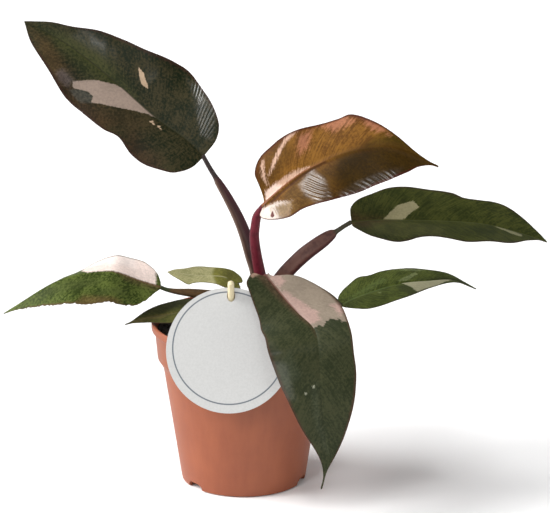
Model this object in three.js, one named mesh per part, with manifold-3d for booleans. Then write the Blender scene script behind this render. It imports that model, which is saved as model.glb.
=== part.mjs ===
// A potted burgundy princess philodendron, in millimetres, +Z up.
// The origin is the centre of the pot's foot, on the surface that the pot stands on.
// +X is the plant's right as seen from its front, and the front faces -Y.

import * as THREE from 'three';
import { mergeVertices } from 'three/addons/utils/BufferGeometryUtils.js';
import Module from 'manifold-3d';

const wasm = await Module();
wasm.setup();

// The pot, a 12 cm nursery pot.
const POT_HEIGHT = 108;
const RIM_RADIUS = 60;
const LIP_HEIGHT = 5;
const COLLAR_RADIUS = 57.8;
const COLLAR_FOOT_RADIUS = 56.2;
const STEP_TOP = 84;
const STEP_FOOT = 79;
const BODY_RADIUS = 52.6;
const FOOT_RADIUS = 41;
const WALL = 1.3;
const FLOOR_UNDERSIDE = 4;
const FLOOR_TOP = 5.5;
const PAD_RADIUS = 12;
const DRAIN_RADIUS = 4.5;
const DRAIN_RING_RADIUS = 26;
const DRAIN_COUNT = 6;
const NOTCH_WIDTH = 14;
const NOTCH_HEIGHT = 4.2;
const NOTCH_ANGLES = [-141, -21, 99];
const POT_SIDES = 56;

// The soil, which fills the pot to a little under its rim.
const SOIL_TOP = 101.5;
const SOIL_RIPPLE = 0.9;
const SOIL_HEAP = 1.5;
const SOIL_RINGS = 6;
const GAP = 0.3;

// The stem and the bud at its top.
const STEM_X = 13;
const STEM_Y = 1;
const STEM_FOOT = 88;
const STEM_TOP = 129;

// The leaf blades, and how many rows and cells each half is woven from.
const BLADE_THICKNESS = 0.7;
const RIB_DEPTH = 0.9;
const LARGE_BLADE = [16, 4];
const SMALL_BLADE = [12, 3];
const VEIN_SWEEP = 1.4;
const ROW_CROWDING = 1.2;

// The petioles, or leaf stalks.
const PETIOLE_SIDES = 10;
const PETIOLE_STEPS = 17;

// The round card tag, and the stick that goes through its slot.
const TAG_RADIUS = 40;
const TAG_THICKNESS = 0.8;
const TAG_LEAN = 16;
const TAG_CENTRE = [-8.6, -60.7, 107.8];
const TAG_HOLE = [1.3, 34.8];
const TAG_HOLE_HALF_WIDTH = 2.6;
const TAG_HOLE_HALF_HEIGHT = 3.8;
const STICK_RADIUS = 2.1;
const STICK_LEAN = 30;
const STICK_LENGTH = 81;
const STICK_PROUD = 13;

// The margins are seen from above with the tip ahead: each point is [along, out], in mm along the
// midrib from the petiole and out from it. The midrib is a curve in space from petiole to tip.
// across points from the midrib to the right margin, at the base, the middle and the tip. rise is the
// angle at which each half leaves the midrib at those three places, and curl bends it back per mm.
const LEAVES = {
  upper_left: {
    colour: '#3a3b30',
    midrib: [[-26, 12, 216], [-38, 18, 226], [-57, 25, 238], [-82, 35, 258], [-107, 42, 277],
      [-125, 46, 288], [-142, 48, 296]],
    across: [[0.60, 0.44, 0.66], [0.60, 0.44, 0.66], [0.60, 0.44, 0.66]],
    rise: { left: [12, 8, 4], right: [12, 8, 4] },
    curl: 0.3,
    wave: { height: 2, length: 60, start: 0 },
    left: [[-1, -2], [0, -11], [4, -19], [10, -25], [24, -30], [37, -30], [50, -27], [62, -30],
      [79, -30], [95, -29], [113, -22], [133, -12], [146, -0.5]],
    right: [[-1, 2], [-1, 13], [3, 21], [11, 26], [25, 32], [41, 38], [54, 36], [72, 29], [88, 25],
      [104, 20], [119, 12], [133, 7], [146, 0.5]],
  },
  top_right: {
    colour: '#6b4a2a',
    midrib: [[13, -10, 188], [32, -12, 206], [48, -14, 217], [71, -17, 227], [94, -22, 230],
      [118, -30, 223], [124, -32, 221]],
    across: [[0.25, -0.6, -0.8], [0.1, -0.6, -0.8], [-0.1, -0.6, -0.8]],
    rise: { left: [25, 12, 4], right: [25, 12, 4] },
    curl: 0.9,
    wave: { height: 2, length: 45, start: 1 },
    left: [[6, -2], [5, -8], [3, -15], [3, -22], [9, -29], [20, -30], [36, -28], [50, -26],
      [63, -25], [72, -25], [87, -17], [99, -10], [111, -4], [122, -1], [128, -0.5]],
    right: [[1, 2], [-3, 4], [-1, 9], [7, 16], [19, 22], [30, 23], [42, 26], [53, 28], [67, 28],
      [80, 26], [93, 22], [106, 13], [114, 6], [122, 1.5], [128, 0.5]],
  },
  right: {
    colour: '#35402a',
    midrib: [[70, 2, 174], [87, 6, 174], [104, 9, 173], [134, 13, 171], [158, 16, 168],
      [181, 19, 161], [198, 20, 155]],
    across: [[0.1, -0.94, -0.32], [0.1, -0.94, -0.32], [0.1, -0.94, -0.32]],
    rise: { left: [14, 14, 10], right: [14, 14, 10] },
    curl: 0.3,
    wave: { height: 0.8, length: 40, start: 0 },
    left: [[0, -2], [0, -8], [1, -13], [6, -19], [15, -24], [26, -29], [37, -30], [48, -30],
      [60, -29], [70, -26], [77, -22], [87, -22], [99, -24], [107, -22], [116, -16], [125, -8],
      [132, -0.5]],
    right: [[0, 2], [0, 7], [4, 15], [10, 24], [17, 29], [25, 31], [34, 29], [41, 26], [50, 25],
      [61, 26], [74, 28], [92, 25], [103, 20], [115, 10], [126, 2], [132, 0.5]],
  },
  lower_right: {
    colour: '#3f5230',
    midrib: [[64, 12, 114], [74, 16, 118], [88, 22, 121], [104, 27, 124], [121, 32, 124],
      [138, 37, 123], [154, 40, 116]],
    across: [[0.28, -0.94, -0.2], [0.28, -0.94, -0.2], [0.28, -0.94, -0.2]],
    rise: { left: [6, 6, 6], right: [6, 6, 6] },
    curl: 0.3,
    wave: { height: 0.8, length: 35, start: 1 },
    left: [[0, -2], [0, -7], [4, -12], [11, -16], [19, -20], [27, -18], [36, -19], [47, -18],
      [58, -16], [75, -10], [87, -4], [97, -0.5]],
    right: [[0, 2], [2, 6], [8, 14], [15, 19], [29, 20], [43, 19], [59, 11], [70, 7], [84, 2],
      [91, 1], [97, 0.5]],
  },
  front: {
    colour: '#3a4030',
    midrib: [[15, -46, 153], [27, -57, 141], [36, -66, 134], [45, -77, 128], [48, -87, 117],
      [49, -92, 96], [51, -93, 74], [53, -90, 52], [52, -87, 33], [50, -85, 23]],
    across: [[-0.85, -0.3, -0.45], [-1, 0, -0.1], [-1, 0.05, 0]],
    rise: { left: [12, 5, 5], right: [12, 5, 5] },
    curl: 0.4,
    wave: { height: 2, length: 55, start: 0.5 },
    left: [[0, -2], [3, -4], [9, -14], [18, -21], [28, -25], [38, -25], [50, -22], [61, -22],
      [70, -22], [81, -23], [92, -22], [104, -19], [120, -13], [136, -6], [149, -1], [161, -0.5]],
    right: [[-1, 2], [-6, 6], [-4, 11], [-1, 14], [6, 16], [26, 22], [42, 29], [59, 32], [80, 27],
      [98, 21], [120, 13], [139, 4], [150, 1], [161, 0.5]],
  },
  left: {
    colour: '#465733',
    midrib: [[-54, 4, 129], [-68, 3, 134], [-82, 1, 140], [-91, 0, 141], [-106, -3, 140],
      [-124, -7, 135], [-148, -12, 121], [-155, -14, 117]],
    across: [[0.12, 0.94, 0.32], [0.12, 0.94, 0.32], [0.12, 0.94, 0.32]],
    rise: { left: [-14, -14, -14], right: [5, -22, -44] },
    curl: 0.1,
    wave: { height: 0.8, length: 30, start: 0 },
    left: [[0, -2], [3, -7], [6, -13], [11, -19], [18, -23], [26, -25], [36, -26], [49, -26],
      [67, -21], [79, -16], [92, -9], [103, -3], [110, -0.5]],
    right: [[0, 2], [1, 6], [4, 12], [9, 18], [18, 24], [30, 25.5], [42, 25.5], [50, 24], [56, 18],
      [62, 12.5], [78, 8], [94, 5], [110, 0.5]],
  },
  inner_left: {
    colour: '#7d8562',
    midrib: [[-4, 18, 127], [-14, 20, 131], [-29, 22, 131], [-50, 24, 133]],
    across: [[0.1, 0.98, 0.14], [0.1, 0.98, 0.14], [0.1, 0.98, 0.14]],
    rise: { left: [0, 0, 0], right: [0, 0, 0] },
    curl: 0.4,
    wave: { height: 0.8, length: 25, start: 0 },
    left: [[0, -2], [-2.5, -2.5], [-1, -7], [3, -11], [9, -12.5], [15, -10.5], [23, -9], [29, -11],
      [32, -13], [38, -9], [44, -4], [47, -0.5]],
    right: [[0, 2], [-2.5, 3.5], [-3, 7], [-1, 12], [4, 15], [12, 14], [23, 16], [30, 14], [37, 9],
      [43, 5], [47, 0.5]],
  },
  low_left: {
    colour: '#4d4f35',
    midrib: [[-24, -6, 121], [-35, -5, 117], [-48, -4, 113], [-63, -5, 111], [-77, -7, 107]],
    across: [[-0.05, 0.99, 0.1], [-0.05, 0.99, 0.1], [-0.05, 0.99, 0.1]],
    rise: { left: [0, 0, 0], right: [-18, 7, 0] },
    curl: 0.2,
    wave: { height: 0.8, length: 30, start: 0 },
    left: [[0, -2], [1, -7], [6, -12], [15, -14], [26, -13], [41, -7], [50, -2], [55, -0.5]],
    right: [[0, 2], [0, 7], [3, 13], [10, 19], [18, 19.5], [28, 15.5], [40, 9], [50, 2], [55, 0.5]],
  },
};

// A petiole runs from the stem to its leaf. Each place on its path is [x, y, z, half width, half
// thickness]; groove is how deep its upper side is channelled there, and open is the way that the
// channel faces. It stops short of the blade by seat.
const PETIOLES = {
  upper_left: {
    colour: '#46272a',
    open: [0.75, -0.6, 0.25],
    groove: 0.45,
    seat: 1.8,
    path: [[9, 5, 116, 5, 3.6], [9, 5.5, 130, 5.2, 3.4], [8.2, 6, 140, 5.2, 3.2],
      [5.2, 7, 150, 5.1, 3], [1.1, 7.5, 164, 4.7, 2.8], [-3.8, 9, 176, 4, 2.6],
      [-10.5, 10, 189, 3.2, 2.2], [-17, 11, 200, 2.2, 1.9], [-22, 11.5, 208.5, 1.7, 1.6],
      [-26, 12, 216, 1.5, 1.5]],
  },
  top_right: {
    colour: '#5e1622',
    open: [0, 1, 0.2],
    groove: 0.25,
    seat: 1.4,
    path: [[14, -4.5, 116, 4, 3.2], [13, -4.8, 128, 4, 3.2], [10.8, -5, 141, 3.8, 3.1],
      [8.5, -6, 155, 3.2, 2.8], [7.2, -6.5, 166, 2.8, 2.6], [7.9, -6.8, 174, 2.6, 2.4],
      [9.4, -7.4, 181, 2.5, 2.3], [13, -9.6, 188, 1.9, 1.8]],
  },
  right: {
    colour: '#5c3a33',
    open: [-0.1, -0.8, 0.5],
    groove: 0.4,
    seat: 1.2,
    path: [[18, 0, 118, 4.6, 3.6], [21, -0.5, 130, 5, 3.6], [26, -1, 138.6, 5, 3.5],
      [33.5, -0.7, 147, 5, 3.4], [41, -0.3, 154, 5, 3.3], [51, 0.4, 161.5, 5, 3.1],
      [58, 1, 166.4, 4.6, 2.7], [59.8, 1.2, 167.6, 1.8, 1.9], [65, 1.7, 171, 1.5, 1.5],
      [70, 2, 174, 1.5, 1.5]],
  },
  lower_right: {
    colour: '#4a4a2e',
    open: [-0.2, 0.1, 1],
    groove: 0.35,
    seat: 1.5,
    path: [[17, 4, 110, 4, 3], [26, 5.5, 119, 3.8, 2.8], [37, 7.5, 125, 3.4, 2.6],
      [48, 9.5, 126, 2.8, 2.3], [57, 11, 121, 1.8, 1.7], [64, 12, 114, 1.5, 1.5]],
  },
  front: {
    colour: '#5f3a32',
    open: [0, 0.5, 0.9],
    groove: 0.35,
    seat: 1.6,
    path: [[13, -5, 108, 4, 3], [13, -13, 119, 3.8, 2.8], [13.5, -24, 132, 3.2, 2.5],
      [14, -35, 144, 2.4, 2.1], [15, -46, 153, 1.8, 1.7]],
  },
  left: {
    colour: '#5b3d2e',
    open: [0.2, -0.25, 1],
    groove: 0.35,
    seat: 0.7,
    path: [[8, 3, 112, 4, 3.2], [0, 4, 119, 4.4, 3.2], [-12, 4, 122.5, 4.6, 3.1],
      [-24, 4, 124, 4.2, 2.9], [-35, 4, 125.3, 3.4, 2.5], [-44, 4, 126.2, 2.2, 1.8],
      [-50, 4, 127.4, 1.5, 1.4], [-54, 4, 129, 1.4, 1.4]],
  },
  inner_left: {
    colour: '#5c5a36',
    open: [0.2, 0, 1],
    groove: 0.3,
    seat: 1.5,
    path: [[11, 6, 100, 3, 2.6], [4, 12, 108, 2.8, 2.4], [-1, 16, 117, 2, 1.8],
      [-3, 17.5, 123, 1.6, 1.5], [-4, 18, 127, 1.4, 1.4]],
  },
  low_left: {
    colour: '#4f4630',
    open: [0.2, 0, 1],
    groove: 0.3,
    seat: 1,
    path: [[8, -4, 102, 3, 2.6], [0, -7, 110, 2.8, 2.4], [-11, -8, 118, 2, 1.8],
      [-24, -6, 121, 1.4, 1.4]],
  },
};

const philodendron = new THREE.Group();

function addPiece(name, geometry, material) {
  const piece = new THREE.Mesh(geometry, material);
  piece.name = name;
  philodendron.add(piece);
  return piece;
}

function finish(colour, roughness) {
  return new THREE.MeshStandardMaterial({ color: colour, roughness, metalness: 0 });
}

// Solids for cutting and joining.
function toSolid(geometry) {
  const bare = geometry.clone();
  bare.deleteAttribute('normal');
  bare.deleteAttribute('uv');
  const merged = mergeVertices(bare, 1e-4);
  return new wasm.Manifold(new wasm.Mesh({
    numProp: 3,
    vertProperties: new Float32Array(merged.attributes.position.array),
    triVerts: new Uint32Array(merged.index.array),
  }));
}

function toGeometry(solid) {
  const mesh = solid.getMesh();
  const geometry = new THREE.BufferGeometry();
  geometry.setAttribute('position', new THREE.BufferAttribute(mesh.vertProperties, 3));
  geometry.setIndex(new THREE.BufferAttribute(mesh.triVerts, 1));
  geometry.computeVertexNormals();
  return geometry;
}

function meshFrom(points, triangles) {
  const geometry = new THREE.BufferGeometry();
  const places = points.flatMap(point => [point.x, point.y, point.z]);
  geometry.setAttribute('position', new THREE.Float32BufferAttribute(places, 3));
  geometry.setIndex(triangles);
  geometry.computeVertexNormals();
  return geometry;
}

// A closed body through rings of points, each ring seen anticlockwise from the far end.
function loft(rings) {
  const sides = rings[0].length;
  const points = rings.flat();
  const triangles = [];
  for (let ring = 0; ring + 1 < rings.length; ring++) {
    for (let side = 0; side < sides; side++) {
      const a = ring * sides + side;
      const b = ring * sides + (side + 1) % sides;
      triangles.push(a, b, b + sides, a, b + sides, a + sides);
    }
  }
  for (const [ring, facesBack] of [[0, true], [rings.length - 1, false]]) {
    const middle = points.length;
    points.push(centreOf(rings[ring]));
    for (let side = 0; side < sides; side++) {
      const a = ring * sides + side;
      const b = ring * sides + (side + 1) % sides;
      triangles.push(...(facesBack ? [middle, b, a] : [middle, a, b]));
    }
  }
  return meshFrom(points, triangles);
}

function centreOf(ring) {
  const sum = ring.reduce((total, point) => total.add(point), new THREE.Vector3());
  return sum.divideScalar(ring.length);
}

function smoothCurve(points) {
  return new THREE.CatmullRomCurve3(points.map(p => new THREE.Vector3(...p)), false, 'catmullrom', 0.5);
}

// A value that passes through three given ones at 0, 0.5 and 1.
function between([base, middle, tip], share) {
  return base * (1 - share) * (1 - 2 * share) + 4 * middle * share * (1 - share)
    + tip * share * (2 * share - 1);
}

// Pot: one moulding with a lip, a collar with a step under it, a tapered body and a notched foot.
function potGeometry() {
  const outside = [
    [PAD_RADIUS, 0], [PAD_RADIUS + 0.6, FLOOR_UNDERSIDE], [FOOT_RADIUS - 3.6, FLOOR_UNDERSIDE],
    [FOOT_RADIUS - 3, 0], [FOOT_RADIUS - 1.2, 0], [FOOT_RADIUS, 2], [BODY_RADIUS, STEP_FOOT - 1],
    [BODY_RADIUS + 0.6, STEP_FOOT], [COLLAR_FOOT_RADIUS - 0.5, STEP_TOP - 0.8],
    [COLLAR_FOOT_RADIUS, STEP_TOP + 0.4], [COLLAR_RADIUS, POT_HEIGHT - LIP_HEIGHT - 1.5],
    [RIM_RADIUS - 0.2, POT_HEIGHT - LIP_HEIGHT], [RIM_RADIUS, POT_HEIGHT - LIP_HEIGHT + 0.8],
    [RIM_RADIUS, POT_HEIGHT - 0.6], [RIM_RADIUS - 0.5, POT_HEIGHT],
  ];
  const inside = [
    [RIM_RADIUS - WALL - 0.3, POT_HEIGHT], [COLLAR_RADIUS - WALL, POT_HEIGHT - LIP_HEIGHT - 1],
    [COLLAR_FOOT_RADIUS - WALL, STEP_TOP + 1], [BODY_RADIUS - WALL + 0.3, STEP_FOOT],
    [BODY_RADIUS - WALL, STEP_FOOT - 1.4], [FOOT_RADIUS - 0.7, FLOOR_TOP + 3],
    [FOOT_RADIUS - 2.4, FLOOR_TOP],
  ];
  const profile = [[0, 0], ...outside, ...inside, [0, FLOOR_TOP]];
  const turned = new THREE.LatheGeometry(profile.map(([r, z]) => new THREE.Vector2(r, z)), POT_SIDES);
  turned.rotateX(Math.PI / 2);
  let pot = toSolid(turned);
  for (const angle of NOTCH_ANGLES) {
    pot = pot.subtract(toSolid(notchGeometry(angle)));
  }
  for (let hole = 0; hole < DRAIN_COUNT; hole++) {
    const angle = 2 * Math.PI * (hole + 0.5) / DRAIN_COUNT;
    const drain = new THREE.CylinderGeometry(DRAIN_RADIUS, DRAIN_RADIUS, 2 * FLOOR_UNDERSIDE, 10);
    drain.rotateX(Math.PI / 2);
    drain.translate(DRAIN_RING_RADIUS * Math.cos(angle), DRAIN_RING_RADIUS * Math.sin(angle),
      (FLOOR_UNDERSIDE + FLOOR_TOP) / 2);
    pot = pot.subtract(toSolid(drain));
  }
  return toGeometry(pot);
}

// A notch is a low arch through the foot, cut outwards at an angle from +X.
function notchGeometry(angle) {
  const half = NOTCH_WIDTH / 2;
  const arch = new THREE.Shape([
    new THREE.Vector2(-half, -1), new THREE.Vector2(half, -1), new THREE.Vector2(half - 1, 2.5),
    new THREE.Vector2(half - 3, NOTCH_HEIGHT), new THREE.Vector2(3 - half, NOTCH_HEIGHT),
    new THREE.Vector2(1 - half, 2.5),
  ]);
  const notch = new THREE.ExtrudeGeometry(arch, { depth: NOTCH_WIDTH, bevelEnabled: false });
  notch.rotateX(Math.PI / 2);
  notch.rotateZ(Math.PI / 2);
  notch.translate(FOOT_RADIUS - NOTCH_WIDTH / 2, 0, 0);
  notch.rotateZ(THREE.MathUtils.degToRad(angle));
  return notch;
}

// Soil: a fill that follows the inside of the pot, with an uneven top that is heaped at the stem.
function soilHeight(x, y) {
  const ripple = Math.sin(0.31 * x + 0.7) * Math.cos(0.27 * y) + 0.5 * Math.sin(0.53 * x - 0.41 * y + 2);
  const heap = SOIL_HEAP * Math.exp(-((x - STEM_X) ** 2 + (y - STEM_Y) ** 2) / 300);
  return SOIL_TOP + SOIL_RIPPLE * ripple + heap;
}

function soilGeometry() {
  const edge = COLLAR_RADIUS - WALL - GAP - 0.6;
  const wall = [[FOOT_RADIUS - 2.9, FLOOR_TOP + GAP], [FOOT_RADIUS - 1.2, FLOOR_TOP + 3.2],
    [BODY_RADIUS - WALL - GAP - 0.3, STEP_FOOT - 1.2],
    [COLLAR_FOOT_RADIUS - WALL - GAP - 0.3, STEP_TOP + 1.6]];
  const rings = wall.map(([radius, z]) => roundRing(radius, () => z));
  for (let ring = 0; ring < SOIL_RINGS; ring++) {
    rings.push(roundRing(edge * (1 - ring / SOIL_RINGS), soilHeight));
  }
  const standing = [stemGeometry(GAP), stickGeometry(GAP)];
  standing.push(...Object.keys(PETIOLES).map(name => petioleGeometry(name, GAP)));
  const soil = standing.reduce((solid, piece) => solid.subtract(toSolid(piece)), toSolid(loft(rings)));
  return toGeometry(soil);
}

function roundRing(radius, height) {
  const ring = [];
  for (let side = 0; side < POT_SIDES; side++) {
    const angle = Math.PI / 2 + 2 * Math.PI * side / POT_SIDES;
    const x = radius * Math.cos(angle);
    const y = radius * Math.sin(angle);
    ring.push(new THREE.Vector3(x, y, height(x, y)));
  }
  return ring;
}

// A stack of round sections, each given as [x, y, z, radius]. extra makes it larger all round.
function stackGeometry(sections, sides, extra) {
  const last = sections.length - 1;
  return loft(sections.map(([x, y, z, radius], index) => {
    const height = z + (index === 0 ? -extra : 0) + (index === last ? extra : 0);
    const ring = [];
    for (let side = 0; side < sides; side++) {
      const angle = 2 * Math.PI * side / sides;
      const reach = radius + extra;
      ring.push(new THREE.Vector3(x + reach * Math.cos(angle), y + reach * Math.sin(angle), height));
    }
    return ring;
  }));
}

// Stem: short and stout, with a swelling at each leaf scar.
function stemGeometry(extra) {
  const sections = [[STEM_FOOT, 5.6], [98, 6.4], [101, 6.9], [104, 6.3], [110, 6.5], [113, 7],
    [116, 6.3], [121, 6], [126, 4.6], [STEM_TOP, 2.4]];
  return stackGeometry(sections.map(([z, radius]) => [STEM_X, STEM_Y, z, radius]), 14, extra);
}

// Bud: a small pointed sheath at the top of the stem.
function budGeometry(extra) {
  const sections = [[14, 0.5, STEM_TOP + GAP, 2.2], [14.6, 0.5, 131.5, 2.4], [15.2, 0.5, 135, 1.7],
    [15.8, 0.5, 138, 0.9], [16.4, 0.5, 140, 0.35]];
  return stackGeometry(sections, 8, extra);
}

// Petiole: an oval stalk with a channel along its upper side.
function petioleGeometry(name, extra) {
  const { path, open, groove, seat } = PETIOLES[name];
  const middle = smoothCurve(path.map(([x, y, z]) => [x, y, z]));
  const sizes = smoothCurve(path.map(place => [place[3], place[4], 0]));
  const opening = new THREE.Vector3(...open);
  const rings = [];
  const reach = 1 - seat / middle.getLength();
  for (let step = 0; step <= PETIOLE_STEPS; step++) {
    const share = reach * step / PETIOLE_STEPS;
    const t = middle.getUtoTmapping(share);
    const ahead = middle.getTangent(t);
    const point = middle.getPoint(t);
    if (step === 0) {
      point.addScaledVector(ahead, -extra);
    }
    const up = opening.clone().addScaledVector(ahead, -opening.dot(ahead)).normalize();
    const sideways = new THREE.Vector3().crossVectors(ahead, up);
    const size = sizes.getPoint(t);
    const ring = [];
    for (let side = 0; side < PETIOLE_SIDES; side++) {
      const angle = 2 * Math.PI * side / PETIOLE_SIDES;
      const dip = Math.max(0, Math.sin(angle)) ** 2 * groove * size.y;
      ring.push(point.clone()
        .addScaledVector(sideways, -(size.x + extra) * Math.cos(angle))
        .addScaledVector(up, (size.y + extra) * Math.sin(angle) - dip));
    }
    rings.push(ring);
  }
  return loft(rings);
}

// Leaf blade: where a point of the flat pattern lies in space, and which way its upper face looks.
function placeOnLeaf(leaf, midrib, length, along, out) {
  const share = THREE.MathUtils.clamp(along / length, 0, 1);
  const ahead = midrib.getTangentAt(share);
  const point = midrib.getPointAt(share).addScaledVector(ahead, along - share * length);
  const across = new THREE.Vector3(...[0, 1, 2].map(axis => between(leaf.across.map(v => v[axis]), share)));
  across.normalize();
  const up = new THREE.Vector3().crossVectors(across, ahead).normalize();
  const side = out < 0 ? 'left' : 'right';
  const distance = Math.abs(out);
  const rise = THREE.MathUtils.degToRad(between(leaf.rise[side], share));
  const curl = THREE.MathUtils.degToRad(leaf.curl);
  const slope = rise - curl * distance;
  const outward = (Math.sin(rise) - Math.sin(slope)) / curl;
  const shift = side === 'right' ? 0 : 2;
  const wave = leaf.wave.height * (distance / 30) ** 2
    * Math.sin(2 * Math.PI * along / leaf.wave.length + leaf.wave.start + shift);
  const lift = (Math.cos(slope) - Math.cos(rise)) / curl + wave;
  point.addScaledVector(across, Math.sign(out) * outward).addScaledVector(up, lift);
  const normal = up.clone().multiplyScalar(Math.cos(slope))
    .addScaledVector(across, -Math.sign(out) * Math.sin(slope));
  return { point, normal };
}

// A leaf blade is a thin sheet, woven from rows that run along its side veins from midrib to margin.
// The rows crowd towards the base, where the margin bends most.
function leafGeometry(leaf, rows, cells) {
  const midrib = smoothCurve(leaf.midrib);
  const length = midrib.getLength();
  const margins = {
    left: new THREE.SplineCurve(leaf.left.map(p => new THREE.Vector2(...p))),
    right: new THREE.SplineCurve(leaf.right.map(p => new THREE.Vector2(...p))),
  };
  const width = 2 * cells + 1;
  const upper = [];
  const lower = [];
  for (let row = 0; row <= rows; row++) {
    const share = (row / rows) ** ROW_CROWDING;
    const root = length * share ** VEIN_SWEEP;
    for (let cell = -cells; cell <= cells; cell++) {
      const margin = margins[cell < 0 ? 'left' : 'right'].getPointAt(share);
      const reach = Math.abs(cell) / cells;
      const along = root + (margin.x - root) * reach;
      const { point, normal } = placeOnLeaf(leaf, midrib, length, along, margin.y * reach);
      const rib = cell === 0 ? RIB_DEPTH * (1 - share) : 0;
      upper.push(point.clone().addScaledVector(normal, BLADE_THICKNESS / 2));
      lower.push(point.clone().addScaledVector(normal, -BLADE_THICKNESS / 2 - rib));
    }
  }
  const triangles = [];
  const under = upper.length;
  for (let row = 0; row < rows; row++) {
    for (let cell = 0; cell < width - 1; cell++) {
      const a = row * width + cell;
      const b = a + 1;
      const c = b + width;
      const d = a + width;
      triangles.push(a, b, c, a, c, d);
      triangles.push(a + under, c + under, b + under, a + under, d + under, c + under);
    }
  }
  const rim = rimOf(rows, width);
  for (let place = 0; place < rim.length; place++) {
    const a = rim[place];
    const b = rim[(place + 1) % rim.length];
    triangles.push(a, a + under, b + under, a, b + under, b);
  }
  return meshFrom([...upper, ...lower], triangles);
}

// The grid places round a blade's edge, in order: base row, right margin, tip row, left margin.
function rimOf(rows, width) {
  const rim = [];
  for (let cell = 0; cell < width - 1; cell++) {
    rim.push(cell);
  }
  for (let row = 0; row < rows; row++) {
    rim.push(row * width + width - 1);
  }
  for (let cell = width - 1; cell > 0; cell--) {
    rim.push(rows * width + cell);
  }
  for (let row = rows; row > 0; row--) {
    rim.push(row * width);
  }
  return rim;
}

// Tag: a round card that leans back on the pot's lip, with one small slot near its top.
function oval(x, y, halfWidth, halfHeight, sides) {
  const points = [];
  for (let side = 0; side < sides; side++) {
    const angle = 2 * Math.PI * side / sides;
    points.push(new THREE.Vector2(x + halfWidth * Math.cos(angle), y + halfHeight * Math.sin(angle)));
  }
  return points;
}

function tagGeometry() {
  const card = new THREE.Shape(oval(0, 0, TAG_RADIUS, TAG_RADIUS, 60));
  const hole = oval(TAG_HOLE[0], TAG_HOLE[1], TAG_HOLE_HALF_WIDTH, TAG_HOLE_HALF_HEIGHT, 14);
  card.holes.push(new THREE.Path(hole));
  const tag = new THREE.ExtrudeGeometry(card, { depth: TAG_THICKNESS, bevelEnabled: false });
  tag.translate(0, 0, -TAG_THICKNESS / 2);
  tag.rotateX(THREE.MathUtils.degToRad(90 - TAG_LEAN));
  tag.translate(...TAG_CENTRE);
  return tag;
}

// The tag's own up direction, and the middle of its slot in space.
const tagUp = new THREE.Vector3(0, Math.sin(THREE.MathUtils.degToRad(TAG_LEAN)),
  Math.cos(THREE.MathUtils.degToRad(TAG_LEAN)));
const holeCentre = new THREE.Vector3(...TAG_CENTRE).addScaledVector(tagUp, TAG_HOLE[1]);
holeCentre.x += TAG_HOLE[0];

// Stick: round wood with a rounded top, pushed slanting through the tag's slot and into the soil.
function stickGeometry(extra) {
  const radius = STICK_RADIUS + extra;
  const profile = [[0, -extra], [radius - 0.5, -extra], [radius, 1], [radius, STICK_LENGTH - 1.2],
    [radius * 0.7, STICK_LENGTH - 0.3 + extra], [0, STICK_LENGTH + extra]];
  const stick = new THREE.LatheGeometry(profile.map(([r, z]) => new THREE.Vector2(r, z)), 10);
  stick.rotateX(Math.PI / 2);
  stick.translate(0, 0, STICK_PROUD - STICK_LENGTH);
  stick.rotateX(THREE.MathUtils.degToRad(STICK_LEAN));
  stick.translate(holeCentre.x, holeCentre.y, holeCentre.z);
  return stick;
}

addPiece('pot', potGeometry(), finish('#b5694c', 0.55));
addPiece('soil', soilGeometry(), finish('#2b211b', 0.95));
addPiece('stem', stemGeometry(0), finish('#4b3a2c', 0.7));
addPiece('bud', budGeometry(0), finish('#5a2b2b', 0.5));

for (const [name, leaf] of Object.entries(LEAVES)) {
  const [rows, cells] = name === 'inner_left' || name === 'low_left' ? SMALL_BLADE : LARGE_BLADE;
  addPiece(`leaf_${name}`, leafGeometry(leaf, rows, cells), finish(leaf.colour, 0.35));
}

// Each petiole clasps the stem and makes room for the petioles that stand in front of it.
const roomTaken = [toSolid(stemGeometry(GAP)), toSolid(budGeometry(GAP))];
for (const [name, petiole] of Object.entries(PETIOLES)) {
  let solid = toSolid(petioleGeometry(name, 0));
  for (const room of roomTaken) {
    solid = solid.subtract(room);
  }
  const pieces = solid.decompose().sort((a, b) => b.volume() - a.volume());
  addPiece(`petiole_${name}`, toGeometry(pieces[0]), finish(petiole.colour, 0.45));
  roomTaken.push(toSolid(petioleGeometry(name, GAP)));
}

addPiece('tag', tagGeometry(), finish('#f4f3ef', 0.6));
addPiece('tag_stick', stickGeometry(0), finish('#e6d9a8', 0.7));

export default philodendron;
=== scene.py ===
from math import cos, exp, pi, radians, sin, sqrt

import bmesh
import bpy
import numpy as np
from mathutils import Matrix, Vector, noise
from mathutils.geometry import tessellate_polygon


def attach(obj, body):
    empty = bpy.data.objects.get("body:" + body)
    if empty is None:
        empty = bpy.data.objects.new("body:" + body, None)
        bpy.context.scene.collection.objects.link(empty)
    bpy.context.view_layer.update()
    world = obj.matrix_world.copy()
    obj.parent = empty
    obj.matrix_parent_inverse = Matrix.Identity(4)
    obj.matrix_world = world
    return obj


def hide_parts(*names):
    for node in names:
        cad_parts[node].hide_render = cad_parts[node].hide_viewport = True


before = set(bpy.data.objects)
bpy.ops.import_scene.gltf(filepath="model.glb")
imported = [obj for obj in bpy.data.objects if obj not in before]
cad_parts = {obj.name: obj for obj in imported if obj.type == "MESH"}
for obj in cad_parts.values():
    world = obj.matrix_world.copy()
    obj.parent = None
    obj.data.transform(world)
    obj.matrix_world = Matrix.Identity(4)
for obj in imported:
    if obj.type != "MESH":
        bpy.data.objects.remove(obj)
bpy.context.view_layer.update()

MM = 0.001


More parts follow.
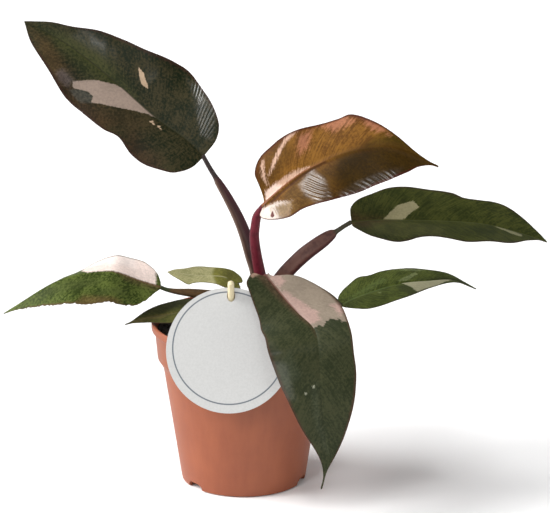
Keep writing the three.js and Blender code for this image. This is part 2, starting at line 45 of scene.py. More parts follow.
# View: a long lens from a little above, straight at the front of the pot.
# It looks at a point at the height of the upper stalks, a little to the right of the pot's middle.
LOOK_AT = Vector((20.6, 0, 151.2)) * MM
VIEW_DISTANCE = 2.2
VIEW_DIP = radians(17.6)
camera = bpy.data.objects.new("camera", bpy.data.cameras.new("camera"))
camera.data.lens = 222.2
camera.data.sensor_width = 36
camera.data.clip_end = 50
camera.location = LOOK_AT - VIEW_DISTANCE * Vector((0, cos(VIEW_DIP), -sin(VIEW_DIP)))
camera.rotation_euler = (pi / 2 - VIEW_DIP, 0, 0)
add_object = bpy.context.collection.objects.link
add_object(camera)
bpy.context.scene.camera = camera
bpy.context.scene.view_settings.view_transform = "Standard"


# Studio: a pale room with a large soft light at the left, two small ones in front and two weak lamps.
# The large light gives the pot its bright side, and the others gleam on the waxy parts of the blades.
LAMPS_AIM = Vector((0, 0, 0.15))
world = bpy.data.worlds.new("studio")
world.use_nodes = True
world.node_tree.nodes["Background"].inputs["Color"].default_value = (1, 1, 1, 1)
world.node_tree.nodes["Background"].inputs["Strength"].default_value = 0.34
bpy.context.scene.world = world
for name, side, height, wide, energy in (
        ("large_soft_light", -88, 36, 50, 4.4),
        ("small_soft_light", -30, 31, 18, 0.65),
        ("high_soft_light", 9, 41, 7, 0.3)):
    sun = bpy.data.objects.new(name, bpy.data.lights.new(name, "SUN"))
    sun.data.energy = energy
    sun.data.angle = radians(wide)
    sun.rotation_euler = (radians(90 - height), 0, radians(side))
    add_object(sun)
for name, place, size, power in (
        ("lamp_left", (-1.34, -0.44, 1.47), 0.25, 6),
        ("lamp_right", (2.1, -0.2, 0.9), 1.0, 6)):
    lamp = bpy.data.objects.new(name, bpy.data.lights.new(name, "AREA"))
    lamp.data.size = size
    lamp.data.energy = power
    lamp.location = place
    lamp.rotation_euler = (LAMPS_AIM - Vector(place)).to_track_quat("-Z", "Y").to_euler()
    add_object(lamp)


# Floor: a plain sheet of white paper, much larger than what the camera sees, half a millimetre under
# the pot's foot. It isn't part of the plant. Its material shows how every finish below is written.
class Wire:
    """A socket in a material. Arithmetic adds Math nodes, and node() adds any other kind of node."""

    def __init__(self, tree, socket=None):
        self.tree = tree
        self.socket = socket

    def node(self, kind, settings=None, values=None):
        """A node's first output. Sockets go by their names, or by their numbers in Math nodes."""
        made = self.tree.nodes.new("ShaderNode" + kind)
        for key, value in (settings or {}).items():
            setattr(made, key, value)
        for key, value in (values or {}).items():
            socket = made.inputs[key] if isinstance(key, int) else next(
                s for s in made.inputs if s.name == key and s.enabled)
            if isinstance(value, Wire):
                self.tree.links.new(value.socket, socket)
            else:
                socket.default_value = value
        return Wire(self.tree, next(s for s in made.outputs if s.enabled))

    def output(self, name):
        return Wire(self.tree, self.socket.node.outputs[name])

    def axis(self, letter):
        return self.node("SeparateXYZ", None, {"Vector": self}).output(letter)

    def math(self, operation, other=0.0):
        return self.node("Math", {"operation": operation}, {0: self, 1: other})

    def __add__(self, other):
        return self.math("ADD", other)

    def __sub__(self, other):
        return self.math("SUBTRACT", other)

    def __rsub__(self, other):
        return self.node("Math", {"operation": "SUBTRACT"}, {0: other, 1: self})

    def __mul__(self, other):
        return self.math("MULTIPLY", other)

    def __truediv__(self, other):
        return self.math("DIVIDE", other)

    __radd__ = __add__
    __rmul__ = __mul__

    def step(self, low, high):
        """0 under low, 1 over high, and smooth between."""
        return self.node("MapRange", {"interpolation_type": "SMOOTHSTEP"},
                         {"Value": self, "From Min": low, "From Max": high})

    def tint(self, colour, other):
        """colour where this is 0, and other where it is 1. Each is a wire, or red, green and blue."""
        colour, other = (c if isinstance(c, Wire) else (*c, 1) for c in (colour, other))
        return self.node("Mix", {"data_type": "RGBA"}, {"Factor": self, "A": colour, "B": other})

    def grain(self, place, size, detail=3.0, rough=0.55):
        """Noise about 0.5, with lumps of the given size in the units of place."""
        return self.node("TexNoise", None, {
            "Vector": place, "Scale": 1 / size, "Detail": detail, "Roughness": rough})

    def stretch(self, place, factors, shift=(0, 0, 0)):
        return self.node("Mapping", None, {"Vector": place, "Scale": factors, "Location": shift})


def new_material(name):
    material = bpy.data.materials.new(name)
    material.use_nodes = True
    return Wire(material.node_tree)


def finish(name, colour, roughness=None, height=None, depth=1.0, coat=None, **constants):
    """Ends a material in its shader. The bumps of height are depth mm deep, coat is how much wax lies
    on it, and constants are the shader's own sockets, the same all over."""
    shader = colour.tree.nodes["Principled BSDF"]
    if height is not None:
        height = colour.node("Bump", None, {"Height": height, "Distance": depth * MM, "Strength": 1.0})
    for key, wire in (("Base Color", colour), ("Roughness", roughness), ("Coat Weight", coat),
                      ("Normal", height)):
        if wire is not None:
            colour.tree.links.new(wire.socket, shader.inputs[key])
    for key, value in constants.items():
        shader.inputs[key.replace("_", " ")].default_value = value
    return bpy.data.materials[name]


def new_piece(name, mesh, material):
    mesh.materials.append(material)
    piece = bpy.data.objects.new(name, mesh)
    add_object(piece)
    return piece


paper = new_material("paper_floor")
white = paper.grain(paper.node("TexCoord"), 0.4, 2).tint((0.93, 0.93, 0.93), (0.96, 0.96, 0.955))
floor_mesh = bpy.data.meshes.new("floor")
floor_mesh.from_pydata([(x, y, -0.5 * MM) for x, y in ((-12, -8), (12, -8), (12, 20), (-12, 20))],
                       [], [(0, 1, 2, 3)])
floor = new_piece("floor", floor_mesh, finish("paper_floor", white, Roughness=0.9))


# Pot: a 12 cm nursery pot, thin injection-moulded plastic in a salmon terracotta colour.
# Its wall is turned from one profile, and the foot's notches and drain holes are cut through it.
OUTER_WALL = [(0, 0), (12, 0), (12.4, 0.4), (12.6, 4), (37, 4), (37.6, 3.6), (38, 0.4), (38.4, 0),
              (40, 0), (40.6, 0.3), (41, 2), (46.2, 36.8), (52.4, 77.2), (52.6, 78.2), (53.4, 79.3),
              (55.4, 82.8), (56, 83.6), (56.2, 84.8), (57.7, 101.2), (58, 102), (59.4, 102.8),
              (59.9, 103.3), (60, 104), (60, 107), (59.8, 107.6), (59.3, 108)]
INNER_WALL = [(58.7, 108), (58.3, 107.8), (58.1, 107.2), (56.7, 102.8), (56.4, 101.6), (54.9, 85),
              (53.2, 80.4), (51.6, 78.2), (51.3, 77), (45, 36.8), (40.2, 8.4), (39.6, 6.6), (38.6, 5.5),
              (0, 5.5)]
POT_SIDES = 168
NOTCH_ANGLES = (-141, -21, 99)
NOTCH = [(-7, -1), (7, -1), (6.4, 2.2), (5, 3.6), (3.6, 4.2), (-3.6, 4.2), (-5, 3.6), (-6.4, 2.2)]
NOTCH_REACH = (34, 46)
DRAINS = 6
DRAIN_RADIUS = 4.5
DRAIN_RING = 26
DRAIN_MIDDLE = 4.75


def join_rings(work, rings):
    """Faces between each ring of corners and the next. A ring on the axis repeats its one corner."""
    for low, high in zip(rings, rings[1:]):
        for side in range(len(low)):
            after = (side + 1) % len(low)
            work.faces.new(list(dict.fromkeys([low[side], low[after], high[after], high[side]])))


def turned(name, profile, sides):
    """A closed body of revolution about Z from points (radius, height) in mm, first and last on it."""
    work = bmesh.new()
    rings = []
    for radius, height in profile:
        if radius == 0:
            rings.append([work.verts.new((0, 0, height * MM))] * sides)
        else:
            far = radius * MM
            rings.append([work.verts.new((far * cos(turn), far * sin(turn), height * MM))
                          for turn in (2 * pi * side / sides for side in range(sides))])
    join_rings(work, rings)
    mesh = bpy.data.meshes.new(name)
    work.to_mesh(mesh)
    work.free()
    return mesh


def soften(mesh, angle=35):
    mesh.shade_smooth()
    mesh.set_sharp_from_angle(angle=radians(angle))


wall = bpy.data.objects.new("pot_wall", turned("pot_wall", OUTER_WALL + INNER_WALL, POT_SIDES))
add_object(wall)
cuts = bmesh.new()
for angle in NOTCH_ANGLES:
    turn = radians(angle)
    ends = [[cuts.verts.new(((out * cos(turn) - x * sin(turn)) * MM,
                             (out * sin(turn) + x * cos(turn)) * MM, z * MM))
             for x, z in NOTCH] for out in NOTCH_REACH]
    cuts.faces.new(ends[0][::-1])
    cuts.faces.new(ends[1])
    join_rings(cuts, ends)
for hole in range(DRAINS):
    turn = 2 * pi * (hole + 0.5) / DRAINS
    drill = bmesh.ops.create_cone(cuts, segments=32, radius1=DRAIN_RADIUS * MM, radius2=DRAIN_RADIUS * MM,
                                  depth=5 * MM, cap_ends=True)
    place = Vector((DRAIN_RING * cos(turn), DRAIN_RING * sin(turn), DRAIN_MIDDLE)) * MM
    bmesh.ops.translate(cuts, verts=drill["verts"], vec=place)
bmesh.ops.recalc_face_normals(cuts, faces=cuts.faces)
cutter = bpy.data.objects.new("pot_cuts", bpy.data.meshes.new("pot_cuts"))
cuts.to_mesh(cutter.data)
cuts.free()
add_object(cutter)
cut = wall.modifiers.new("cut", "BOOLEAN")
cut.operation = "DIFFERENCE"
cut.solver = "EXACT"
cut.object = cutter
pot_mesh = bpy.data.meshes.new_from_object(wall.evaluated_get(bpy.context.evaluated_depsgraph_get()))
bpy.data.objects.remove(wall)
bpy.data.objects.remove(cutter)
soften(pot_mesh)

plastic = new_material("pot_plastic")
pot_place = plastic.node("NewGeometry")
cloud = plastic.grain(pot_place, 0.03, 3)
flow = plastic.grain(plastic.stretch(pot_place, (1, 1, 0.18)), 0.006, 4)
terracotta = (cloud * 0.6 + flow * 0.4).step(0.3, 0.7).tint((0.235, 0.057, 0.02), (0.29, 0.078, 0.029))
speck = plastic.grain(pot_place, 0.0012, 2).step(0.66, 0.74) * 0.25
terracotta = speck.tint(terracotta, (0.2, 0.055, 0.025))
pot = new_piece("nursery_pot", pot_mesh, finish(
    "pot_plastic", terracotta, 0.42 + 0.14 * cloud + 0.06 * flow,
    plastic.grain(pot_place, 0.0009, 2) + 1.5 * flow, 0.05, Specular_IOR_Level=0.5))
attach(pot, "root")
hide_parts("pot")


# Soil: dark damp peat with crumbs of bark, filled to a finger's width under the rim.
# The heap has an uneven top, and the loose crumbs lie half sunk in it.
SOIL_LEVEL = 101.5
SOIL_WALL = [(37.8, 5.8), (39.6, 8.6), (50.7, 77.4), (54.2, 85.6), (55.4, 98)]
SOIL_TOP_RADIUS = 55.7
SOIL_SIDES = 180
CRUMBS = 620
CRUMBS_REACH = 54


def soil_height(x, y):
    ripple = sin(0.31 * x + 0.7) * cos(0.27 * y) + 0.5 * sin(0.53 * x - 0.41 * y + 2)
    heap = 1.5 * exp(-((x - 13) ** 2 + (y - 1) ** 2) / 300)
    lumps = 1.3 * noise.noise((x * 0.16, y * 0.16, 3)) + 0.7 * noise.noise((x * 0.5, y * 0.5, 8))
    return SOIL_LEVEL + 0.9 * ripple + heap + lumps


fill = bmesh.new()
soil_rings = []
for radius, height in SOIL_WALL + [(SOIL_TOP_RADIUS - inward, None) for inward in range(55)]:
    row = []
    for side in range(SOIL_SIDES):
        turn = 2 * pi * side / SOIL_SIDES
        x, y = radius * cos(turn), radius * sin(turn)
        row.append(fill.verts.new((x * MM, y * MM, (soil_height(x, y) if height is None else height) * MM)))
    soil_rings.append(row)
join_rings(fill, soil_rings)
fill.faces.new(soil_rings[0][::-1])
fill.faces.new(soil_rings[-1])
chance = np.random.default_rng(5)
for crumb in range(CRUMBS):
    turn = chance.uniform(0, 2 * pi)
    far = CRUMBS_REACH * sqrt(chance.uniform(0.002, 1))
    x, y = far * cos(turn), far * sin(turn)
    size = chance.uniform(0.7, 2.1) if crumb % 9 else chance.uniform(2.2, 3.6)
    lump = bmesh.ops.create_icosphere(fill, subdivisions=1, radius=size * MM)["verts"]
    flat = chance.uniform(0.45, 0.8)
    spin = chance.uniform(0, pi)
    long = chance.uniform(0.9, 1.5)
    for corner in lump:
        jag = 1 + 0.35 * noise.noise(corner.co * 900 + Vector((crumb, 0, 0)))
        a, b, c = corner.co.x * long * jag, corner.co.y * jag, corner.co.z * flat * jag
        corner.co = Vector((a * cos(spin) - b * sin(spin) + x * MM,
                            a * sin(spin) + b * cos(spin) + y * MM,
                            c + (soil_height(x, y) + 0.15 * size) * MM))
soil_mesh = bpy.data.meshes.new("soil_fill")
fill.to_mesh(soil_mesh)
fill.free()
soften(soil_mesh, 50)

peat = new_material("peat")
peat_place = peat.node("NewGeometry")
crumbs = peat.grain(peat_place, 0.0022, 5, 0.7)
patches = peat.grain(peat_place, 0.011, 3)
dark_peat = (crumbs * 0.7 + patches * 0.3).step(0.35, 0.7).tint((0.011, 0.007, 0.005), (0.045, 0.028, 0.018))
fibre = peat.grain(peat.stretch(peat_place, (1, 0.25, 1)), 0.0012, 3).step(0.68, 0.76)
soil = new_piece("peat_fill", soil_mesh, finish(
    "peat", fibre.tint(dark_peat, (0.11, 0.07, 0.04)), 0.72 + 0.25 * crumbs, crumbs, 0.8))
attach(soil, "root")
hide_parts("soil")


# Stem: the short stout stem that all stalks clasp, with a ring of scar where each old leaf stood.
# It grew here, so it simply stands in the soil. Its skin is olive brown, corky at the scars.
STEM_RADII = [(88, 5.6), (98, 6.3), (100.6, 6.9), (102.5, 6.3), (107, 6.3), (111, 6.6), (112.8, 7),
              (114.6, 6.3), (120, 6), (124.5, 5.2), (127.4, 4), (129, 2)]


def smooth_path(points, count):
    """count places evenly spread along a smooth curve through the points, and its length. What comes
    after a point's x, y and z, such as a radius, changes as smoothly but doesn't add to the length."""
    points = np.array(points, float)
    first = 2 * points[0] - points[1]
    last = 2 * points[-1] - points[-2]
    held = np.vstack([first, points, last])
    t = np.linspace(0, 1, 60, endpoint=False)[:, None]
    fine = []
    for a, b, c, d in zip(held, held[1:], held[2:], held[3:]):
        fine.append(0.5 * (2 * b + (c - a) * t + (2 * a - 5 * b + 4 * c - d) * t ** 2
                           + (3 * b - a - 3 * c + d) * t ** 3))
    fine = np.vstack(fine + [points[-1:]])
    walked = np.r_[0, np.cumsum(np.linalg.norm(np.diff(fine[:, :3], axis=0), axis=1))]
    wanted = np.linspace(0, walked[-1], count)
    return np.stack([np.interp(wanted, walked, column) for column in fine.T], 1), walked[-1]


def turns(sides):
    """The angles of the corners of a ring."""
    return np.linspace(0, 2 * pi, sides, endpoint=False)


def skin(name, rings):
    """A closed tube through rings of places in mm, with UV along and round it."""
    count, sides = len(rings), len(rings[0])
    faces = []
    for start in range(0, (count - 1) * sides, sides):
        for side in range(sides):
            here, after = start + side, start + (side + 1) % sides
            faces.append([here, after, after + sides, here + sides])
    faces.append(list(range(sides))[::-1])
    faces.append([(count - 1) * sides + side for side in range(sides)])
    mesh = bpy.data.meshes.new(name)
    mesh.from_pydata((np.concatenate(rings) * MM).tolist(), [], faces)
    layer = mesh.uv_layers.new(name="wrap")
    for face in mesh.polygons:
        closes = len(face.vertices) == 4 and sides - 1 in [corner % sides for corner in face.vertices]
        for loop, corner in zip(face.loop_indices, face.vertices):
            ring, side = divmod(corner, sides)
            if side == 0 and closes:
                side = sides
            layer.data[loop].uv = (ring / (count - 1), side / sides)
    soften(mesh, 50)
    return mesh


stem_rings = []
for x, y, z, radius in smooth_path([(13, 1, height, radius) for height, radius in STEM_RADII], 46)[0]:
    turn = turns(40)
    bark = radius + 0.15 * np.sin(5 * turn + z) + 0.08 * np.sin(11 * turn - 2 * z)
    stem_rings.append(np.stack([x + bark * np.cos(turn), y + bark * np.sin(turn), np.full(40, z)], 1))
cork = new_material("stem_skin")
weathered = cork.grain(cork.stretch(cork.node("NewGeometry"), (1, 1, 0.35)), 0.0016, 4)
stem = new_piece("stem_skin", skin("stem_skin", stem_rings), finish(
    "stem_skin", weathered.step(0.35, 0.65).tint((0.05, 0.032, 0.02), (0.13, 0.1, 0.055)),
    0.5 + 0.3 * weathered, weathered, 0.35))
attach(stem, "root")
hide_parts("stem")


# Bud: the small pointed sheath at the top of the stem, which wraps the next leaf.
# It is smooth and reddish brown, with darker and paler streaks along it.
BUD_PATH = [(14, 0.5, 128.6, 2.1), (14.6, 0.5, 131.5, 2.4), (15.2, 0.5, 135, 1.7), (15.8, 0.5, 138, 0.9),
            (16.3, 0.5, 139.6, 0.35), (16.4, 0.5, 140, 0.08)]
bud_rings = []
for x, y, z, radius in smooth_path(BUD_PATH, 24)[0]:
    turn = turns(20)
    bud_rings.append(np.stack([x + radius * np.cos(turn), y + radius * np.sin(turn), np.full(20, z)], 1))
scale_leaf = new_material("bud_skin")
bud_wrap = scale_leaf.node("UVMap", {"uv_map": "wrap"})
bud_streak = scale_leaf.grain(scale_leaf.stretch(bud_wrap, (2, 12, 1)), 1.0, 3)
bud = new_piece("bud_sheath", skin("bud_sheath", bud_rings), finish(
    "bud_skin", bud_streak.step(0.3, 0.7).tint((0.09, 0.02, 0.02), (0.22, 0.09, 0.07)),
    0.38 + 0.1 * bud_streak, bud_streak, 0.1))
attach(bud, "root")
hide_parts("bud")


# Petioles: the stalks that carry the leaves, oval, with a channel along the upper side.
# The upper ones open into wings at their foot that clasp the stem. Young ones are burgundy, old ones brown.
USUAL_STALK = dict(slot="brown_petiole", turned=0)
PETIOLES = {}
PETIOLES["upper_left"] = dict(
    opens=(0.75, -0.6, 0.25), groove=0.45, turned=-30, neck=(0.84, (0.04, 0.027, 0.026)),
    skin=(0.09, 0.045, 0.036), back=(0.16, 0.105, 0.08), channel=(0.05, 0.005, 0.011),
    path=[(9, 5, 116, 5, 3.6), (9, 5.5, 130, 5.2, 3.4), (8.2, 6, 140, 5.2, 3.2), (5.2, 7, 150, 5.3, 3),
        (1.1, 7.5, 164, 5, 2.8), (-3.8, 9, 176, 4.4, 2.6), (-10.5, 10, 189, 3.7, 2.3),
        (-15.6, 10.8, 197.6, 2.9, 2.1), (-18, 11.1, 201.8, 1.9, 1.7), (-22, 11.5, 208.5, 1.6, 1.6),
        (-26, 12, 216, 1.5, 1.5)])
PETIOLES["top_right"] = dict(
    slot="burgundy_petiole", opens=(0, 1, 0.2), groove=0.25,
    skin=(0.065, 0.003, 0.01), back=(0.12, 0.01, 0.02), channel=(0.035, 0.002, 0.006),
    path=[(14, -4.5, 116, 4, 3.2), (13, -4.8, 128, 4, 3.2), (10.8, -5, 141, 3.8, 3.1),
        (8.5, -6, 155, 3.4, 3), (7.3, -6.5, 166, 3.2, 2.8), (7.9, -6.8, 174, 3, 2.7),
        (9.2, -7.4, 181, 2.8, 2.5), (13, -9.6, 188, 1.9, 1.8)])
PETIOLES["right"] = dict(
    opens=(-0.1, -0.8, 0.5), groove=0.4, neck=(0.84, (0.045, 0.042, 0.024)),
    skin=(0.05, 0.009, 0.01), back=(0.05, 0.014, 0.013), channel=(0.1, 0.042, 0.03),
    path=[(18, 0, 118, 4.6, 3.6), (21, -0.5, 130, 5, 3.6), (26, -1, 138.6, 5, 3.5),
        (33.5, -0.7, 147, 5, 3.4), (41, -0.3, 154, 5, 3.3), (50, 0.4, 160.7, 4.7, 3),
        (55, 0.8, 164.3, 4, 2.7), (58.2, 1, 166.5, 3, 2.3), (60.2, 1.2, 167.8, 1.7, 1.8),
        (65, 1.7, 171, 1.5, 1.5), (70, 2, 174, 1.5, 1.5)])
PETIOLES["lower_right"] = dict(
    opens=(-0.2, 0.1, 1), groove=0.35,
    skin=(0.06, 0.06, 0.028), back=(0.05, 0.045, 0.022), channel=(0.075, 0.07, 0.035),
    path=[(17, 4, 110, 4, 3), (26, 5.5, 119, 3.8, 2.8), (37, 7.5, 125, 3.4, 2.6), (48, 9.5, 126, 2.8, 2.3),
        (57, 11, 121, 1.8, 1.7), (64, 12, 114, 1.5, 1.5)])
PETIOLES["front"] = dict(
    opens=(0, 0.5, 0.9), groove=0.35,
    skin=(0.12, 0.045, 0.035), back=(0.1, 0.035, 0.03), channel=(0.15, 0.06, 0.05),
    path=[(13, -5, 108, 4, 3), (13, -13, 119, 3.8, 2.8), (13.5, -24, 132, 3.2, 2.5),
        (14, -35, 144, 2.4, 2.1), (15, -46, 153, 1.8, 1.7)])
PETIOLES["left"] = dict(
    opens=(0.2, -0.25, 1), groove=0.35, neck=(0.9, (0.03, 0.038, 0.012)),
    skin=(0.06, 0.03, 0.01), back=(0.03, 0.014, 0.006), channel=(0.07, 0.038, 0.013),
    path=[(8, 3, 112, 4, 3.2), (0, 4, 119, 4.4, 3.2), (-12, 4, 122.5, 4.6, 3.1), (-24, 4, 124, 4.2, 2.9),
        (-35, 4, 125.3, 3.4, 2.5), (-44, 4, 126.2, 2.2, 1.8), (-50, 4, 127.4, 1.5, 1.4),
        (-54, 4, 129, 1.4, 1.4)])
PETIOLES["inner_left"] = dict(
    opens=(0.2, 0, 1), groove=0.3,
    skin=(0.08, 0.075, 0.035), back=(0.06, 0.05, 0.025), channel=(0.1, 0.09, 0.045),
    path=[(11, 6, 100, 3, 2.6), (4, 12, 108, 2.8, 2.4), (-1, 16, 117, 2, 1.8), (-3, 17.5, 123, 1.6, 1.5),
        (-4, 18, 127, 1.4, 1.4)])
PETIOLES["low_left"] = dict(
    opens=(0.2, 0, 1), groove=0.3,
    skin=(0.09, 0.07, 0.035), back=(0.06, 0.045, 0.025), channel=(0.11, 0.085, 0.045),
    path=[(8, -4, 102, 3, 2.6), (0, -7, 110, 2.8, 2.4), (-11, -8, 118, 2, 1.8), (-24, -6, 121, 1.4, 1.4)])


def unit(vectors):
    return vectors / np.linalg.norm(vectors, axis=-1, keepdims=True)


def stalk_mesh(name, stalk, sides=32, steps=110):
    """A stalk along its path of x, y, z, half width and half thickness. Its channel faces the way that
    opens says and is groove of the half thickness deep."""
    places = smooth_path(stalk["path"], steps)[0]
    middle = places[:, :3]
    ahead = unit(np.gradient(middle, axis=0))
    opens = np.array(stalk["opens"])
    up = unit(opens - (ahead @ opens)[:, None] * ahead)
    sideways = np.cross(ahead, up)
    turn = turns(sides)
    rings = []
    for i in range(steps):
        wide, thick = places[i, 3], places[i, 4]
        flutes = 1 + 0.012 * np.sin(9 * turn + 0.05 * i)
        dip = np.maximum(0, np.sin(turn)) ** 3 * stalk["groove"] * thick
        across = -wide * np.cos(turn) * flutes
        rise = thick * np.sin(turn) * flutes - dip
        rings.append(middle[i] + across[:, None] * sideways[i] + rise[:, None] * up[i])
    return skin(name, rings)


def shade(colour, factor, added=0.0):
    return tuple(c * factor + added for c in colour)


def stalk_finish(name, stalk):
    """Skin at the sides, back below and channel above, its middle turned by some degrees. neck is where
    along the stalk its colour changes towards the leaf, and to what."""
    wire = new_material(name)
    wrap = wire.node("UVMap", {"uv_map": "wrap"})
    along = wrap.axis("X")
    height = (wrap.axis("Y") * (2 * pi) + radians(stalk["turned"])).math("SINE")
    threads = wire.grain(wire.stretch(wrap, (3, 55, 1)), 1.0, 3)
    mottle = wire.grain(wire.stretch(wrap, (16, 6, 1)), 1.0, 4)
    colour = height.step(0.4, 0.85).tint(stalk["skin"], stalk["channel"])
    colour = (0 - height).step(-0.1, 0.7).tint(colour, stalk["back"])
    colour = (threads.step(0.5, 0.75) * 0.35).tint(colour, shade(stalk["skin"], 1.9, 0.01))
    colour = (mottle.step(0.45, 0.7) * 0.5).tint(colour, shade(stalk["skin"], 0.5))
    neck, neck_colour = stalk.get("neck", (1, stalk["skin"]))
    colour = (mottle * 0.04 + along).step(neck, neck + 0.04).tint(colour, neck_colour)
    colour = along.step(0.0, 0.12).tint((0.09, 0.06, 0.035), colour)
    return finish(name, colour, 0.34 + 0.16 * mottle, 0.7 * threads + 0.5 * mottle, 0.16,
                  Specular_IOR_Level=0.2)


for name, own in PETIOLES.items():
    stalk = {**USUAL_STALK, **own}
    piece = new_piece("stalk_" + name, stalk_mesh("stalk_" + name, stalk),
                      stalk_finish("stalk_skin_" + name, stalk))
    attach(piece, "root")
    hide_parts("petiole_" + name)


# Leaf blades: leathery sheets about half a millimetre thick, glossy above and dull burgundy below. Each
# grew on the end of its stalk. Side veins run from the midrib to the margin, and where a strip of tissue
# has no green in it, it shows pink or cream, with edges that follow the veins.

# Places on a blade are (along, out) in mm: along its midrib from the stalk and out from it, less than 0
# on the left. A patch has a colour, how much of it covers the green, how soft and how ragged its edge
# is in mm, and its outlines. A sheen has its strength, its pleats' height in mm and its outlines.
USUAL_BLADE = dict(ridge=(-0.3, 0.9), pleats=(52, 0), crinkle=0.15, nibbled=0, speckle=0.3, shine=0.12,
                   gloss=0.42, midrib_span=(0, 1.2), curl=0.3, sheen=[])
LEAVES = {}
LEAVES["upper_left"] = dict(
    slot="dark_leaf", rows=320, rib=(1.2, 0.25), crinkle=0.1, speckle=0.5, gloss=0.34,
    tones=((0.004, 0.008, 0.0015), (0.034, 0.028, 0.011)), edge=(0.03, 0.013, 0.008),
    midrib_tone=(0.022, 0.022, 0.009), midrib_span=(0.25, 0.95), below=(0.09, 0.025, 0.025),
    midrib=[(-26, 12, 216), (-38, 18, 226), (-57, 25, 238), (-82, 35, 258), (-107, 42, 277),
        (-125, 46, 288), (-142, 48, 296)],
    across=[(0.6, 0.44, 0.66)] * 3, rise=[(12, 8, 4)] * 2, wave=(2, 60, 0),
    left=[(-1, -2), (0, -11), (4, -19), (10, -25), (24, -30), (37, -30), (50, -27), (62, -30), (79, -30),
        (95, -29), (113, -22), (133, -12), (146, -0.5)],
    right=[(-1, 2), (-1, 13), (3, 21), (11, 26), (25, 32), (41, 38), (54, 36), (72, 29), (88, 25),
        (104, 20), (119, 12), (133, 7), (146, 0.5)],
    patches=[
        ((0.042, 0.048, 0.014), 0.65, 8, 5, [[(60, 0), (90, 8), (118, 5), (136, 1), (120, -6), (92, -8)]]),
        ((0.045, 0.019, 0.008), 0.55, 9, 4, [[(60, -22), (90, -20), (112, -12), (126, -8), (110, -28),
            (60, -36)], [(20, -24), (44, -20), (44, -34), (16, -34)]]),
        ((0.045, 0.028, 0.012), 0.5, 8, 5, [[(36, -4), (60, -5), (76, -20), (60, -27), (44, -20)]]),
        ((0.072, 0.046, 0.016), 0.6, 4, 4, [[(140, -3), (126, -4), (108, -14), (99, -18), (102, -26),
            (120, -19)]]),
        # Purple-grey patch past the tip end of the pink strip: a painted sheen, the blade's soft gleam laid
        # into its colour.
        ((0.085, 0.066, 0.064), 0.6, 2, 3, [[(109, -20), (107, -16), (98, -17), (97, -23), (104, -24)]]),
        ((0.06, 0.064, 0.055), 0.5, 1, 2.5, [[(95, -24), (89, -18), (81, -17), (78, -21), (85, -26)]]),
        ((0.27, 0.205, 0.165), 0.95, 0.35, 1.3, [[(97, -18), (86, -8), (75, -2), (69, 0), (54, 0), (39, 0),
            (46, -2), (58, -9), (64, -13), (79, -21), (80, -17), (85, -17), (94, -21)]]),
        ((0.42, 0.3, 0.2), 0.9, 0.3, 1.2, [[(69, 17), (65, 17), (60, 14), (55, 11), (60, 10), (65, 13)],
            [(40, -3), (36, -5), (42, -5)], [(34, -3), (31, -5), (36, -4)]])],
    sheen=[
        (1, 0.12, [[(-1, 10), (8, 26), (30, 36), (44, 34), (26, 22), (10, 8)]]),
        (0.07, 0, [[(56, 10), (84, 5), (118, 5), (110, 20), (84, 27), (54, 36)]]),
        (0.35, 0, [[(94, 12), (102, 10), (116, 12), (108, 20), (96, 24)]]),
        (0.3, 0, [[(112, -18), (98, -24), (88, -28), (94, -16), (104, -12)]])])
